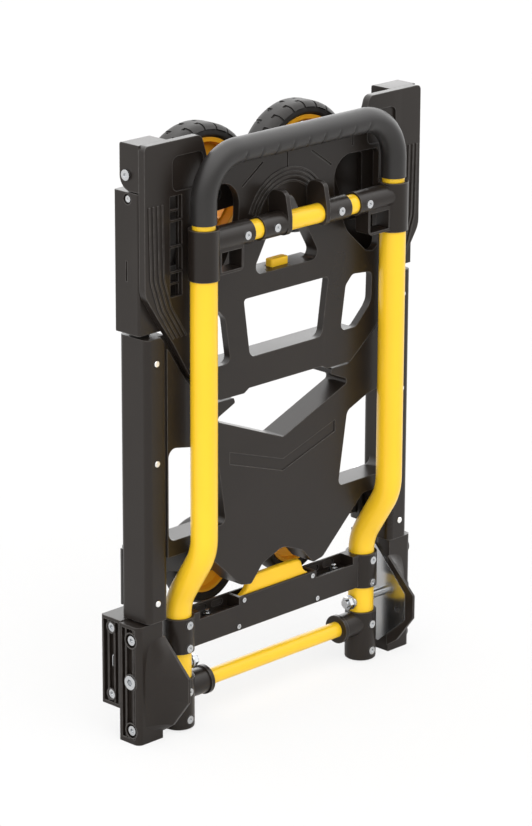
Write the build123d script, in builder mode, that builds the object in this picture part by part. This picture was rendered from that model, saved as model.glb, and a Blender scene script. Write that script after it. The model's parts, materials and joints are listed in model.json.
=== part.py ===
"""Folding hand truck that also opens into a platform truck, modelled folded flat and standing on end.

Frame: X to the right, Y to the back, Z up, millimetres. The origin is on the floor, midway between
the two corner blocks, in the plane of the handle's pivot axis.
"""

import os
from math import radians, tan

from build123d import *

os.makedirs("parts", exist_ok=True)

# Clearances
RUN_FIT = 0.05          # radial, a shaft that turns in its bore
SEAT_FIT = 0.1          # radial, a fixed tube or pin in its socket
FACE_GAP = 0.6          # between faces that pass each other
TUBE_GAP = 0.8          # radial, telescoping tubes
JOIN_GAP = 2.0          # between mouldings that follow each other along the frame

# Handle: two bent legs that turn on the pivot bolts
LEG_X = 148.5           # half the handle's width, between tube axes
LEG_R = 15.0
LEG_WALL = 1.5
HANDLE_GAP = 2.6        # between the folded handle's collars and the toe plate
LEG_SLOPE = 32.0        # degrees, the slanted run between the two bends
LEG_BEND_R = 60.0
LEG_BOTTOM_Z = 8.0
LEG_LENGTH = 567.0
PIVOT_Z = 73.0

# Telescoping U tube and its rubber grip
INNER_WALL = 1.5
INNER_CLEAR = 15.6      # above the leg's upper bend
GRIP_RISE = 85.0        # from the leg's top to the axis of the grip's top run
GRIP_CORNER_R = 50.0
GRIP_WALL = 1.6
GRIP_RING = 5.0         # bare tube between collar and grip

# Collars, cross tube, release slides and lock pins
COLLAR_WALL = 2.2
COLLAR_LENGTH = 56.0
COLLAR_LIP = 8.0        # above the leg's top
CROSS_DROP = 7.0        # the cross tube's axis below the leg's top
CROSS_R = 11.0
CROSS_WALL = 1.5
BRANCH_WALL = 2.5
BRANCH_LENGTH = 65.5
GUSSET_LENGTH = 50.5
GUSSET_DEPTH = 20.0
GUSSET_WALL = 3.0
SLIDE_IN_X = 33.0
SLIDE_LENGTH = 35.0
SLIDE_TRAVEL = 12.0
TAB_THICK = 6.0
TAB_RISE = 36.0
LOCK_PIN_R = 4.0
LOCK_PIN_IN_X = 42.0

# Boots, channel, foot bar and pedal at the lower end of the handle
BOOT_WALL = 3.3
UPPER_BOOT_BOTTOM_Z = 92.0
UPPER_BOOT_LENGTH = 41.0
LOWER_BOOT_BOTTOM_Z = 1.5
LOWER_BOOT_TOP_Z = 61.0
CHANNEL_FRONT = 10.0
CHANNEL_BACK = 13.0
CHANNEL_WALL = 3.0
CHANNEL_HEIGHT = 40.0
TRAY_END = 24.5         # from the leg's axis to the tray's outer end
TRAY_DEPTH = 14.0
TRAY_FRONT_DROP = 9.0   # how far the front wall is cut down along the tray
TRAY_FLOOR = 3.0
SLOT_XS = (78.0, 103.0)
SLOT_LENGTH = 18.0
SLOT_R = 3.6
SLOT_DROP = 7.0         # the slots' middle below the channel's top
SLOT_SINK = 2.0
STUD_R = 3.0
STUD_RISE = 8.0         # above the tray's floor
BAR_R = 9.2
BAR_Z = 45.4
BAR_SEAT = 19.0         # how deep the foot bar goes into the boss
BOSS_WALL = 5.8
BOSS_LENGTH = 41.5      # from the leg's axis to the boss's inner face
BOSS_FLANGE_WALL = 7.6
BOSS_FLANGE = 5.0
PEDAL_HALF = 57.0
PEDAL_TOP_HALF = 41.0
PEDAL_RISE = 19.0       # above the channel
PEDAL_NECK = 4.0
PEDAL_THICK = 9.0
PEDAL_PIN_R = 3.0
PEDAL_PIN_Z = 106.0
PEDAL_SIDE_GAP = 1.5
PEDAL_WEB = 4.0         # webs in the channel that carry the pedal's pin

# Fasteners
SCREW_HEAD_R = 4.6
SCREW_HEAD = 2.4
SCREW_SHANK_R = 2.0
SMALL_HEAD_R = 2.9
SMALL_HEAD = 1.4
SINK = 1.2              # how deep a screw head sits in its spot face
BOLT_R = 5.0
BOLT_HEAD_R = 8.0
BOLT_HEAD = 7.0
BUSH_WALL = 2.0
BUSH_PROUD = 1.0
NUT_FLATS = 14.0
NUT_THICK = 8.0
NUT_FLANGE = 1.6
STUD_NUT_R = 5.0
STUD_NUT = 4.5
BOLT_PROUD = 3.0
CORNER_HEAD_R = 5.5
CORNER_HEAD = 4.0
CORNER_SHANK_R = 3.0
CORNER_SHANK = 9.0
BOOT_SCREW_ZS = (13.0, 45.9, 97.8, 125.3)
CHANNEL_SCREWS = ((55.4, 35.5), (63.7, 5.9))
BRANCH_SCREW = 12.7     # from the branch's inner end

# Corner blocks and pivot plates
BLOCK_GAP = 35.5        # from the leg's axis to the block's inner face
BLOCK_WIDTH = 37.0
BLOCK_FRONT = 12.0
BLOCK_BACK = 18.0
BLOCK_TOP_Z = 139.0
CHEEK_FRONT = 53.0      # the cheek's nose, in front of the pivot axis
RECESS = 5.0
RECESS_RIM = 4.0
RECESS_RIB = 2.4
REAR_BACK = 49.5
REAR_BOTTOM_Z = 36.0
REAR_INSET = 2.0
REAR_BOLT_Y = 34.0
REAR_BOLT_ZS = (49.0, 128.0)
FRONT_BOLT_ZS = (15.3, 121.8)
PLATE_THICK = 3.0
PLATE_FRONT = 40.0
PLATE_HOLE_R = 3.5

# Frame tubes that run from the corner blocks to the toe plate's hinge
TUBE_INSET = 11.0       # from the block's inner face to the tube's axis
TUBE_Y = 10.0
TUBE_R = 11.0
TUBE_WALL = 1.5
TUBE_BOTTOM_Z = 100.0

# Deck panel with its two rails
RAIL_WIDTH = 31.0
RAIL_INSET = 6.0        # the rail's inner face, inside the block's
RAIL_LENGTH = 324.0
RAIL_BACK = 28.0
RAIL_WALL = 3.0
RAIL_EDGE_R = 7.0
RAIL_CHAMFER = 14.0
DECK_FRONT = 16.5
DECK_DEPTH = 32.0
DECK_SKIN = 4.0
DECK_WALL = 3.5
DECK_RIB = 2.6
DECK_RIB_PITCH = 42.0
EMBOSS = 1.2
RIVET_R = 3.6
RIVET_PROUD = 1.4
RIVET_ENDS = (21.8, 28.0)

# Wheel covers
COVER_WIDTH = 36.0
COVER_INSET = 5.0
COVER_GAP = 5.0         # above the rail
COVER_LENGTH = 156.0
COVER_FRONT = 10.5
COVER_BACK = 27.0
COVER_WALL = 3.5
COVER_CAP = 9.0
COVER_SINK = 2.2
COVER_SINK_R = 5.8
COVER_BOLT_R = 3.8
COVER_SLOT = 22.0

# Toe plate
TOE_FRONT = 20.5
TOE_SKIN = 4.0
TOE_FLANGE = 9.0        # depth of the walls and ribs behind the plate's face
TOE_WALL = 3.0
TOE_RIB = 2.4
TOE_RIB_PITCH = 40.0
TOE_SHELF_X = 110.0     # half the length of the deep shelf under the windows
TOE_SHELF_DEPTH = 32.0
TOE_SHELF_HEIGHT = 28.0
CARRY_DEPTH = 17.0      # depth of the wall around the carry opening
CARRY_BAR_X = 55.0
TOE_CORNER_R = 6.0
EAR_WIDTH = 41.0
EAR_BACK = 17.5
EAR_GAP = 1.5           # above the wheel cover
EAR_RISE = 34.0         # above the hinge pin
EAR_CORNER_R = 16.0
EAR_SLOT_GAP = 1.5
EAR_SLOT_FRONT = 12.0   # in front of the hinge pin
EAR_SLOT_RISE = 18.0    # above the hinge pin
EAR_DISH = 2.6
EAR_DISH_SIZE = (46.0, 38.0)
HINGE_Y = 6.0
HINGE_RISE = 17.5       # above the ear's lower edge
HINGE_R = 4.0
HINGE_HEAD_R = 6.0
HINGE_HEAD = 2.6
HINGE_ABOVE = 8.0       # frame tube above the hinge pin
GROOVE = 1.2
GROOVE_WIDTH = 2.2
LEDGE_DROP = 137.0      # the carry ledge below the hinge pin
LEDGE_HEIGHT = 24.0

# Latch button on the carry ledge
BUTTON_LENGTH = 27.0
BUTTON_DEPTH = 11.0
BUTTON_RISE = 8.5
BUTTON_SKIRT = 12.0
BUTTON_Y = -5.0
BUTTON_TRAVEL = 4.0
SPRING_R = 4.0
SPRING_WALL = 1.2

# Folding wheel arms and wheels
KNUCKLE_WALL = 3.0
ARM_FRONT_Y = 13.0
ARM_THICK = 11.0
ARM_HALF = 17.0
ARM_REACH = 43.0        # past the axle
ARM_WEB = 60.0          # the arm's broad end, from the frame tube's axis
WHEEL_GAP = 3.0         # from the truck's middle to the folded wheel
WHEEL_DROP = 28.0       # the axle below the cover's top
WHEEL_Y = 44.5
WHEEL_R = 75.0
WHEEL_WIDTH = 36.0
RIM_R = 60.0
RIM_LIP = 7.0
RIM_DISC = 10.0
RIM_SPOKES = 5
RIM_WINDOW = (24.0, 27.0)   # radial and around
RIM_WINDOW_R = 38.0
HUB_R = 19.0
AXLE_R = 6.0
AXLE_HEAD_R = 9.0
AXLE_HEAD = 3.0
AXLE_CAP = 1.4

# Folding castors
CASTOR_HINGE_INSET = 11.0   # the hinge pin, inside the frame tube's axis
CASTOR_HINGE_Y = 38.0
CASTOR_PIN_R = 4.0
CASTOR_R = 50.0
CASTOR_WIDTH = 26.0
CASTOR_RIM_R = 37.0
CASTOR_HUB_R = 11.0
CASTOR_AXLE_R = 4.0
CASTOR_AXLE_HEAD_R = 7.0
CASTOR_AXLE_HEAD = 2.0
CASTOR_Y = 45.0
CASTOR_RISE = 27.0          # the castor's axle above the rail's lower end
CASTOR_TRAIL = 25.0
CASTOR_LUG = 8.0
CASTOR_LUG_R = 9.5
CASTOR_LUG_RISE = 16.0
CASTOR_BASE = 3.0
CASTOR_KNUCKLE = 40.0
CASTOR_ARM_HALF = 4.0
CASTOR_CLEAR = 23.0         # between the tyre and the swivel plate
CASTOR_PLATE = 5.0
CASTOR_PLATE_SIZE = 40.0
STEM_R = 6.0
FORK_SHEET = 3.0
FORK_GAP = 2.0
FORK_HALF = 17.0

# Values that follow from the sizes above: handle
LEG_TOP_Z = LEG_BOTTOM_Z + LEG_LENGTH
INNER_R = LEG_R - LEG_WALL - TUBE_GAP
GRIP_R = INNER_R + GRIP_WALL
COLLAR_R = LEG_R + COLLAR_WALL
LEG_OFFSET = TOE_FRONT + GROOVE + HANDLE_GAP + COLLAR_R
COLLAR_TOP_Z = LEG_TOP_Z + COLLAR_LIP
COLLAR_BOTTOM_Z = COLLAR_TOP_Z - COLLAR_LENGTH
CROSS_Z = LEG_TOP_Z - CROSS_DROP
CROSS_END_X = LEG_X - LEG_R - 2 * LOCK_PIN_R - LEG_WALL
BRANCH_R = CROSS_R + BRANCH_WALL
BRANCH_END_X = LEG_X - BRANCH_LENGTH
BRANCH_SCREW_X = BRANCH_END_X + BRANCH_SCREW
GUSSET_END_X = LEG_X - GUSSET_LENGTH
SLIDE_OUT_X = SLIDE_IN_X + SLIDE_LENGTH
SLIDE_SCREW_X = (SLIDE_IN_X + SLIDE_OUT_X) / 2
TAB_TOP_Z = CROSS_Z + TAB_RISE
LOCK_PIN_TIP_X = LEG_X - INNER_R - FACE_GAP - LOCK_PIN_R / 4
GRIP_Z = LEG_TOP_Z + GRIP_RISE
GRIP_END_Z = COLLAR_TOP_Z + GRIP_RING
BOOT_R = LEG_R + BOOT_WALL
UPPER_BOOT_TOP_Z = UPPER_BOOT_BOTTOM_Z + UPPER_BOOT_LENGTH
LEG_BEND_Z = UPPER_BOOT_TOP_Z + LEG_BEND_R * tan(radians(LEG_SLOPE / 2)) + FACE_GAP
LEG_KNEE_Z = LEG_BEND_Z + LEG_OFFSET / tan(radians(LEG_SLOPE))
INNER_BOTTOM_Z = LEG_KNEE_Z + LEG_BEND_R * tan(radians(LEG_SLOPE / 2)) + INNER_CLEAR
CHANNEL_TOP_Z = UPPER_BOOT_TOP_Z
CHANNEL_BOTTOM_Z = CHANNEL_TOP_Z - CHANNEL_HEIGHT
TRAY_OUT_X = LEG_X - TRAY_END
TRAY_FLOOR_Z = CHANNEL_TOP_Z - TRAY_DEPTH
BOSS_R = BAR_R + BOSS_WALL
BOSS_FLANGE_R = BAR_R + BOSS_FLANGE_WALL
BOSS_IN_X = LEG_X - BOSS_LENGTH
BAR_END_X = BOSS_IN_X + BAR_SEAT
PEDAL_FRONT = CHANNEL_FRONT - CHANNEL_WALL - FACE_GAP
PEDAL_PIN_Y = PEDAL_THICK / 2 - PEDAL_FRONT
PEDAL_BAY_X = PEDAL_HALF + PEDAL_SIDE_GAP
PEDAL_TOP_Z = CHANNEL_TOP_Z + PEDAL_RISE
TRAY_IN_X = PEDAL_BAY_X + PEDAL_WEB

# Values that follow from the sizes above: frame, from the legs outwards and from the floor up
BLOCK_IN_X = LEG_X + BLOCK_GAP
BLOCK_OUT_X = BLOCK_IN_X + BLOCK_WIDTH
REAR_OUT_X = BLOCK_OUT_X - REAR_INSET
TUBE_X = BLOCK_IN_X + TUBE_INSET
RAIL_IN_X = BLOCK_IN_X - RAIL_INSET
RAIL_OUT_X = RAIL_IN_X + RAIL_WIDTH
RIVET_X = TUBE_X
RAIL_BOTTOM_Z = BLOCK_TOP_Z + JOIN_GAP
REAR_TOP_Z = RAIL_BOTTOM_Z - JOIN_GAP / 2
RAIL_TOP_Z = RAIL_BOTTOM_Z + RAIL_LENGTH
RIVET_ZS = (RAIL_BOTTOM_Z + RIVET_ENDS[0], (RAIL_BOTTOM_Z + RAIL_TOP_Z) / 2 + DECK_RIB_PITCH / 2,
            RAIL_TOP_Z - RIVET_ENDS[1])
COVER_IN_X = BLOCK_IN_X - COVER_INSET
COVER_OUT_X = COVER_IN_X + COVER_WIDTH
COVER_BOTTOM_Z = RAIL_TOP_Z + COVER_GAP
COVER_TOP_Z = COVER_BOTTOM_Z + COVER_LENGTH
COVER_BOLT_Z = COVER_TOP_Z - 2 * COVER_BOLT_R
EAR_OUT_X = COVER_OUT_X
EAR_IN_X = EAR_OUT_X - EAR_WIDTH
EAR_BOTTOM_Z = COVER_TOP_Z + EAR_GAP
HINGE_Z = EAR_BOTTOM_Z + HINGE_RISE
TUBE_TOP_Z = HINGE_Z + HINGE_ABOVE
TOE_TOP_Z = HINGE_Z + EAR_RISE
TOE_BOTTOM_Z = RAIL_TOP_Z - 84.0
LEDGE_Z = HINGE_Z - LEDGE_DROP
BAR_UNDER_Z = LEDGE_Z - LEDGE_HEIGHT
BUTTON_BOTTOM_Z = LEDGE_Z - BUTTON_SKIRT
POCKET_FLOOR_Z = BUTTON_BOTTOM_Z - BUTTON_TRAVEL - FACE_GAP
BUSH_R = BOLT_R + BUSH_WALL
KNUCKLE_R = TUBE_R + KNUCKLE_WALL
WHEEL_X = WHEEL_R + WHEEL_GAP
WHEEL_Z = COVER_TOP_Z - WHEEL_DROP
GROUND_Y = TUBE_Y + (TUBE_X - WHEEL_X) + WHEEL_R
CASTOR_HINGE_X = TUBE_X - CASTOR_HINGE_INSET
CASTOR_X = CASTOR_HINGE_X - (GROUND_Y - CASTOR_HINGE_Y - CASTOR_R)
CASTOR_Z = RAIL_BOTTOM_Z + CASTOR_RISE
SWIVEL_Z = CASTOR_Z + CASTOR_TRAIL
CASTOR_LUG_Z = RAIL_BOTTOM_Z + CASTOR_LUG_RISE
LOWER_LUG_TOP_Z = CASTOR_LUG_Z + CASTOR_LUG
KNUCKLE_TOP_Z = LOWER_LUG_TOP_Z + CASTOR_KNUCKLE
CASTOR_PLATE_X = CASTOR_X + CASTOR_R + CASTOR_CLEAR


def front_plane(y):
    """A plane across the front at depth y; sketch x is X, sketch y is Z, and the front is its outside."""
    return Plane.XZ.offset(-y)


def side_plane(x):
    """A plane across X; sketch x is Y and sketch y is Z."""
    return Plane.YZ.offset(x)


def x_rod(x0, x1, y, z, r, mode=Mode.ADD):
    """A round bar or hole along X."""
    with Locations(((x0 + x1) / 2, y, z)):
        Cylinder(r, abs(x1 - x0), rotation=(0, 90, 0), mode=mode)


def y_rod(x, y0, y1, z, r, mode=Mode.ADD):
    """A round bar or hole along Y."""
    with Locations((x, (y0 + y1) / 2, z)):
        Cylinder(r, abs(y1 - y0), rotation=(90, 0, 0), mode=mode)


def z_rod(x, y, z0, z1, r, mode=Mode.ADD):
    """A round bar or hole along Z."""
    with Locations((x, y, (z0 + z1) / 2)):
        Cylinder(r, abs(z1 - z0), mode=mode)


def block(x0, x1, y0, y1, z0, z1, mode=Mode.ADD):
    """A box between two corners."""
    with Locations(((x0 + x1) / 2, (y0 + y1) / 2, (z0 + z1) / 2)):
        Box(abs(x1 - x0), abs(y1 - y0), abs(z1 - z0), mode=mode)


def both_sides(right_half):
    """A closed outline from its right half, listed from top to bottom as (x, z, corner radius)."""
    return right_half + [(-x, z, r) for x, z, r in reversed(right_half)]


def rounded(points):
    """A closed line through (x, z, corner radius) points."""
    return FilletPolyline(*[(x, z) for x, z, r in points], radius=[r for x, z, r in points], close=True)


def save(part, name):
    """Name a finished piece and write it."""
    part.label = name
    export_step(part, f"parts/{name}.step")


def save_pair(right_part, name):
    """Write a right-hand piece and its mirror image on the left."""
    save(right_part, f"right_{name}")
    save(mirror(right_part, about=Plane.YZ), f"left_{name}")


def front_screw(x, y_face, z, head_r, head, shank):
    """A screw driven to the back, its head standing on the face at y_face."""
    y_rod(x, y_face - head, y_face, z, head_r)
    y_rod(x, y_face, y_face + shank, z, SCREW_SHANK_R)
    y_rod(x, y_face - head, y_face - head / 2, z, head_r * 0.4, mode=Mode.SUBTRACT)


def front_screw_seat(x, y_face, z, head_r, shank):
    """The spot face and hole that a front screw sits in."""
    y_rod(x, y_face - BOOT_R, y_face, z, head_r + SEAT_FIT, mode=Mode.SUBTRACT)
    y_rod(x, y_face, y_face + shank + SEAT_FIT, z, SCREW_SHANK_R + SEAT_FIT, mode=Mode.SUBTRACT)


# Deck panel: a ribbed moulding with a hollow rail along each side
WEB_SIDE_X = RAIL_IN_X + RAIL_WALL / 2
WEB_HALF = [
    (0.0, RAIL_TOP_Z - 155, 6.0),
    (109.0, RAIL_TOP_Z - 112, 4.0),
    (76.0, RAIL_TOP_Z - 98, 2.0),
    (78.0, RAIL_TOP_Z - 92, 2.0),
    (105.0, RAIL_TOP_Z - 92, 8.0),
    (150.0, RAIL_TOP_Z - 58, 12.0),
    (WEB_SIDE_X, RAIL_TOP_Z - 13, 1.0),
    (WEB_SIDE_X, RAIL_BOTTOM_Z + 71, 1.0),
    (132.0, RAIL_BOTTOM_Z + 71, 12.0),
    (66.0, RAIL_BOTTOM_Z + 10, 6.0),
    (50.0, RAIL_BOTTOM_Z + 7, 5.0),
    (32.0, RAIL_BOTTOM_Z + 27, 14.0),
    (0.0, RAIL_BOTTOM_Z + 39, 20.0),
]
WINDOW = [
    (RAIL_IN_X, RAIL_TOP_Z - 127, 10.0),
    (RAIL_IN_X, RAIL_BOTTOM_Z + 89, 10.0),
    (90.0, RAIL_BOTTOM_Z + 89, 7.0),
    (104.0, RAIL_TOP_Z - 148, 10.0),
    (136.0, RAIL_TOP_Z - 135, 10.0),
]
LIP_GAP = 1.0           # behind the toe plate
LIP = [
    (WEB_SIDE_X, RAIL_TOP_Z - 3), (WEB_SIDE_X, RAIL_TOP_Z - 20), (150.0, RAIL_TOP_Z - 62),
    (128.0, RAIL_TOP_Z - 76), (122.0, RAIL_TOP_Z - 66), (140.0, RAIL_TOP_Z - 38), (162.0, RAIL_TOP_Z - 3),
]
CHEVRON_HALF = 84.0
CHEVRON_DIP = 27.0
CHEVRON_BAND = 13.5
CHEVRON_Z = RAIL_TOP_Z - 154.0


def web_points():
    """The web's outline, with its two points on the centre line listed once."""
    left = [(-x, z, r) for x, z, r in reversed(WEB_HALF) if x]
    return WEB_HALF + left


with BuildPart() as deck_panel:
    with BuildSketch(front_plane(-DECK_FRONT)) as web:
        with BuildLine():
            rounded(web_points())
        make_face()
        with BuildLine():
            rounded(WINDOW)
        make_face(mode=Mode.SUBTRACT)
        with BuildLine():
            rounded([(-x, z, r) for x, z, r in WINDOW])
        make_face(mode=Mode.SUBTRACT)
    extrude(amount=-DECK_DEPTH)
    with BuildSketch(front_plane(-DECK_FRONT + DECK_SKIN)) as web_hollow:
        offset(web.sketch.face(), amount=-DECK_WALL)
        for rib in range(-5, 6):
            with Locations((rib * DECK_RIB_PITCH, RAIL_TOP_Z / 2)):
                Rectangle(DECK_RIB, RAIL_TOP_Z, mode=Mode.SUBTRACT)
        for rib in range(int(RAIL_LENGTH / DECK_RIB_PITCH)):
            with Locations((0, RAIL_BOTTOM_Z + (rib + 0.65) * DECK_RIB_PITCH)):
                Rectangle(2 * RAIL_OUT_X, DECK_RIB, mode=Mode.SUBTRACT)
    extrude(amount=-DECK_DEPTH, mode=Mode.SUBTRACT)
    with BuildSketch(front_plane(-DECK_FRONT)):
        with BuildLine():
            Polyline(
                (-CHEVRON_HALF, CHEVRON_Z), (0, CHEVRON_Z - CHEVRON_DIP), (CHEVRON_HALF, CHEVRON_Z),
                (CHEVRON_HALF, CHEVRON_Z - CHEVRON_BAND), (0, CHEVRON_Z - CHEVRON_DIP - CHEVRON_BAND),
                (-CHEVRON_HALF, CHEVRON_Z - CHEVRON_BAND), close=True,
            )
        make_face()
    extrude(amount=-EMBOSS, mode=Mode.SUBTRACT)
    for side in (-1, 1):
        with BuildSketch(Plane.XY.offset(RAIL_BOTTOM_Z)):
            with Locations((side * (RAIL_IN_X + RAIL_OUT_X) / 2, (RAIL_BACK - DECK_FRONT) / 2)):
                RectangleRounded(RAIL_OUT_X - RAIL_IN_X, RAIL_BACK + DECK_FRONT, RAIL_EDGE_R)
        extrude(amount=RAIL_TOP_Z - RAIL_BOTTOM_Z)
        block(
            side * (RAIL_IN_X + RAIL_WALL), side * (RAIL_OUT_X - RAIL_WALL),
            -DECK_FRONT + RAIL_WALL, RAIL_BACK - RAIL_WALL,
            RAIL_BOTTOM_Z + 2 * RAIL_WALL, RAIL_TOP_Z - 3 * RAIL_WALL, mode=Mode.SUBTRACT,
        )
        z_rod(
            side * TUBE_X, TUBE_Y, RAIL_BOTTOM_Z - 1, RAIL_TOP_Z + 1, TUBE_R + SEAT_FIT,
            mode=Mode.SUBTRACT,
        )
        for rivet_z in RIVET_ZS:
            y_rod(
                side * RIVET_X, -DECK_FRONT - 1, -DECK_FRONT + RAIL_WALL, rivet_z,
                SCREW_SHANK_R + SEAT_FIT, mode=Mode.SUBTRACT,
            )
        with BuildSketch(front_plane(-DECK_FRONT - 1)):
            with BuildLine():
                Polyline(
                    (side * (RAIL_IN_X - 1), RAIL_TOP_Z + 1),
                    (side * (RAIL_IN_X + RAIL_CHAMFER * 0.8), RAIL_TOP_Z + 1),
                    (side * (RAIL_IN_X - 1), RAIL_TOP_Z - RAIL_CHAMFER),
                    close=True,
                )
            make_face()
        extrude(amount=TOE_FRONT - TOE_FLANGE - FACE_GAP - DECK_FRONT - 1, mode=Mode.SUBTRACT)
        with BuildSketch(front_plane(-TOE_FRONT + TOE_FLANGE + LIP_GAP)):
            with BuildLine():
                Polyline(*[(side * x, z) for x, z in LIP], close=True)
            make_face()
        extrude(amount=-DECK_SKIN)
save(deck_panel.part, "deck_panel")

with BuildPart() as rail_rivets:
    for side in (-1, 1):
        for rivet_z in RIVET_ZS:
            y_rod(side * RIVET_X, -DECK_FRONT - RIVET_PROUD, -DECK_FRONT, rivet_z, RIVET_R)
            y_rod(side * RIVET_X, -DECK_FRONT, -DECK_FRONT + RAIL_WALL, rivet_z, SCREW_SHANK_R)
    fillet(rail_rivets.edges().filter_by(GeomType.CIRCLE).group_by(Axis.Y)[0], RIVET_PROUD * 0.7)
save(rail_rivets.part, "rail_rivets")

with BuildPart() as rail_tubes:
    for side in (-1, 1):
        z_rod(side * TUBE_X, TUBE_Y, TUBE_BOTTOM_Z, TUBE_TOP_Z, TUBE_R)
        z_rod(
            side * TUBE_X, TUBE_Y, TUBE_BOTTOM_Z, TUBE_TOP_Z, TUBE_R - TUBE_WALL, mode=Mode.SUBTRACT
        )
        x_rod(
            side * (TUBE_X - TUBE_R), side * (TUBE_X + TUBE_R), HINGE_Y, HINGE_Z,
            HINGE_R + SEAT_FIT, mode=Mode.SUBTRACT,
        )
save(rail_tubes.part, "rail_tubes")

# Corner block: a thick moulding whose cheek swells forward around the steel pivot plate
CHEEK_BACK = BLOCK_BACK - RECESS_RIM
PLATE_BACK = BLOCK_BACK - 2.0
PLATE = [
    (PLATE_BACK, PIVOT_Z - 57), (PLATE_BACK, PIVOT_Z + 57), (PLATE_BACK - 8, PIVOT_Z + 58),
    (-PLATE_FRONT, PIVOT_Z + 7), (-PLATE_FRONT, PIVOT_Z - 25), (2, PIVOT_Z - 62),
]
CHEEK_SWELL = CHEEK_FRONT - BLOCK_FRONT
CHEEK_SECTIONS = [
    (0.0, CHEEK_FRONT), (7.0, BLOCK_FRONT + CHEEK_SWELL * 0.5), (16.0, BLOCK_FRONT + CHEEK_SWELL * 0.18),
    (BLOCK_WIDTH - RAIL_EDGE_R - 2, BLOCK_FRONT - 0.5),
]


def cheek_points(front):
    """The cheek's side outline where its nose stands this far in front of the pivot axis."""
    foot = BLOCK_FRONT + (front - BLOCK_FRONT) * 0.39
    return [
        (CHEEK_BACK, PIVOT_Z - 67), (CHEEK_BACK, PIVOT_Z + 49), (-BLOCK_FRONT + 1, PIVOT_Z + 49),
        (-front, PIVOT_Z + 8), (-front, PIVOT_Z - 20), (-foot, PIVOT_Z - 53),
        (-BLOCK_FRONT + 4, PIVOT_Z - 67),
    ]


with BuildPart() as corner_block:
    for inset, front in CHEEK_SECTIONS:
        with BuildSketch(side_plane(BLOCK_IN_X + inset)):
            with BuildLine():
                Polyline(*cheek_points(front), close=True)
            make_face()
    loft()
    with BuildSketch(side_plane(BLOCK_IN_X)):
        with BuildLine():
            Polyline(*cheek_points(CHEEK_FRONT), close=True)
        make_face()
        with Locations((-CHEEK_FRONT / 2 - BLOCK_FRONT, PIVOT_Z)):
            Rectangle(CHEEK_FRONT, BLOCK_TOP_Z, mode=Mode.INTERSECT)
    extrude(amount=-PLATE_THICK)
    with BuildSketch(side_plane(BLOCK_IN_X)):
        with BuildLine():
            Polyline(*PLATE, close=True)
        make_face()
        offset(amount=FACE_GAP)
    extrude(amount=-PLATE_THICK - 1, mode=Mode.SUBTRACT)
    with BuildSketch(Plane.XY) as block_plan:
        with Locations(((BLOCK_IN_X + BLOCK_OUT_X) / 2, (BLOCK_BACK - BLOCK_FRONT) / 2)):
            Rectangle(BLOCK_OUT_X - BLOCK_IN_X, BLOCK_BACK + BLOCK_FRONT)
        fillet(block_plan.vertices().sort_by(lambda v: v.X - v.Y)[-1], RAIL_EDGE_R)
    extrude(amount=BLOCK_TOP_Z)
    block(
        BLOCK_OUT_X - RECESS, BLOCK_OUT_X, -BLOCK_FRONT + RECESS_RIM + 2, BLOCK_BACK - RECESS_RIM,
        RECESS_RIM + 2, BLOCK_TOP_Z - RECESS_RIM, mode=Mode.SUBTRACT,
    )
    for rib_y in (-BLOCK_FRONT + 2 * RECESS_RIM, BLOCK_BACK - 2 * RECESS_RIM - RECESS_RIB):
        block(
            BLOCK_OUT_X - RECESS, BLOCK_OUT_X - 1, rib_y, rib_y + RECESS_RIB,
            RECESS_RIM, BLOCK_TOP_Z - RECESS_RIM,
        )
    for bolt_z in FRONT_BOLT_ZS + (PIVOT_Z,):
        x_rod(BLOCK_OUT_X - RECESS, BLOCK_OUT_X, 0, bolt_z, BOLT_HEAD_R + 1.6)
        x_rod(
            BLOCK_OUT_X - RECESS, BLOCK_OUT_X + 1, 0, bolt_z, BOLT_HEAD_R + SEAT_FIT, mode=Mode.SUBTRACT
        )
    for bolt_z in FRONT_BOLT_ZS:
        x_rod(
            BLOCK_OUT_X - RECESS - CORNER_SHANK, BLOCK_OUT_X, 0, bolt_z,
            CORNER_SHANK_R + SEAT_FIT, mode=Mode.SUBTRACT,
        )
    x_rod(BLOCK_IN_X - PLATE_THICK - 1, BLOCK_OUT_X, 0, PIVOT_Z, BOLT_R + SEAT_FIT, mode=Mode.SUBTRACT)
    z_rod(TUBE_X, TUBE_Y, TUBE_BOTTOM_Z, BLOCK_TOP_Z + 1, TUBE_R + SEAT_FIT, mode=Mode.SUBTRACT)
save_pair(corner_block.part, "corner_block")

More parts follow.
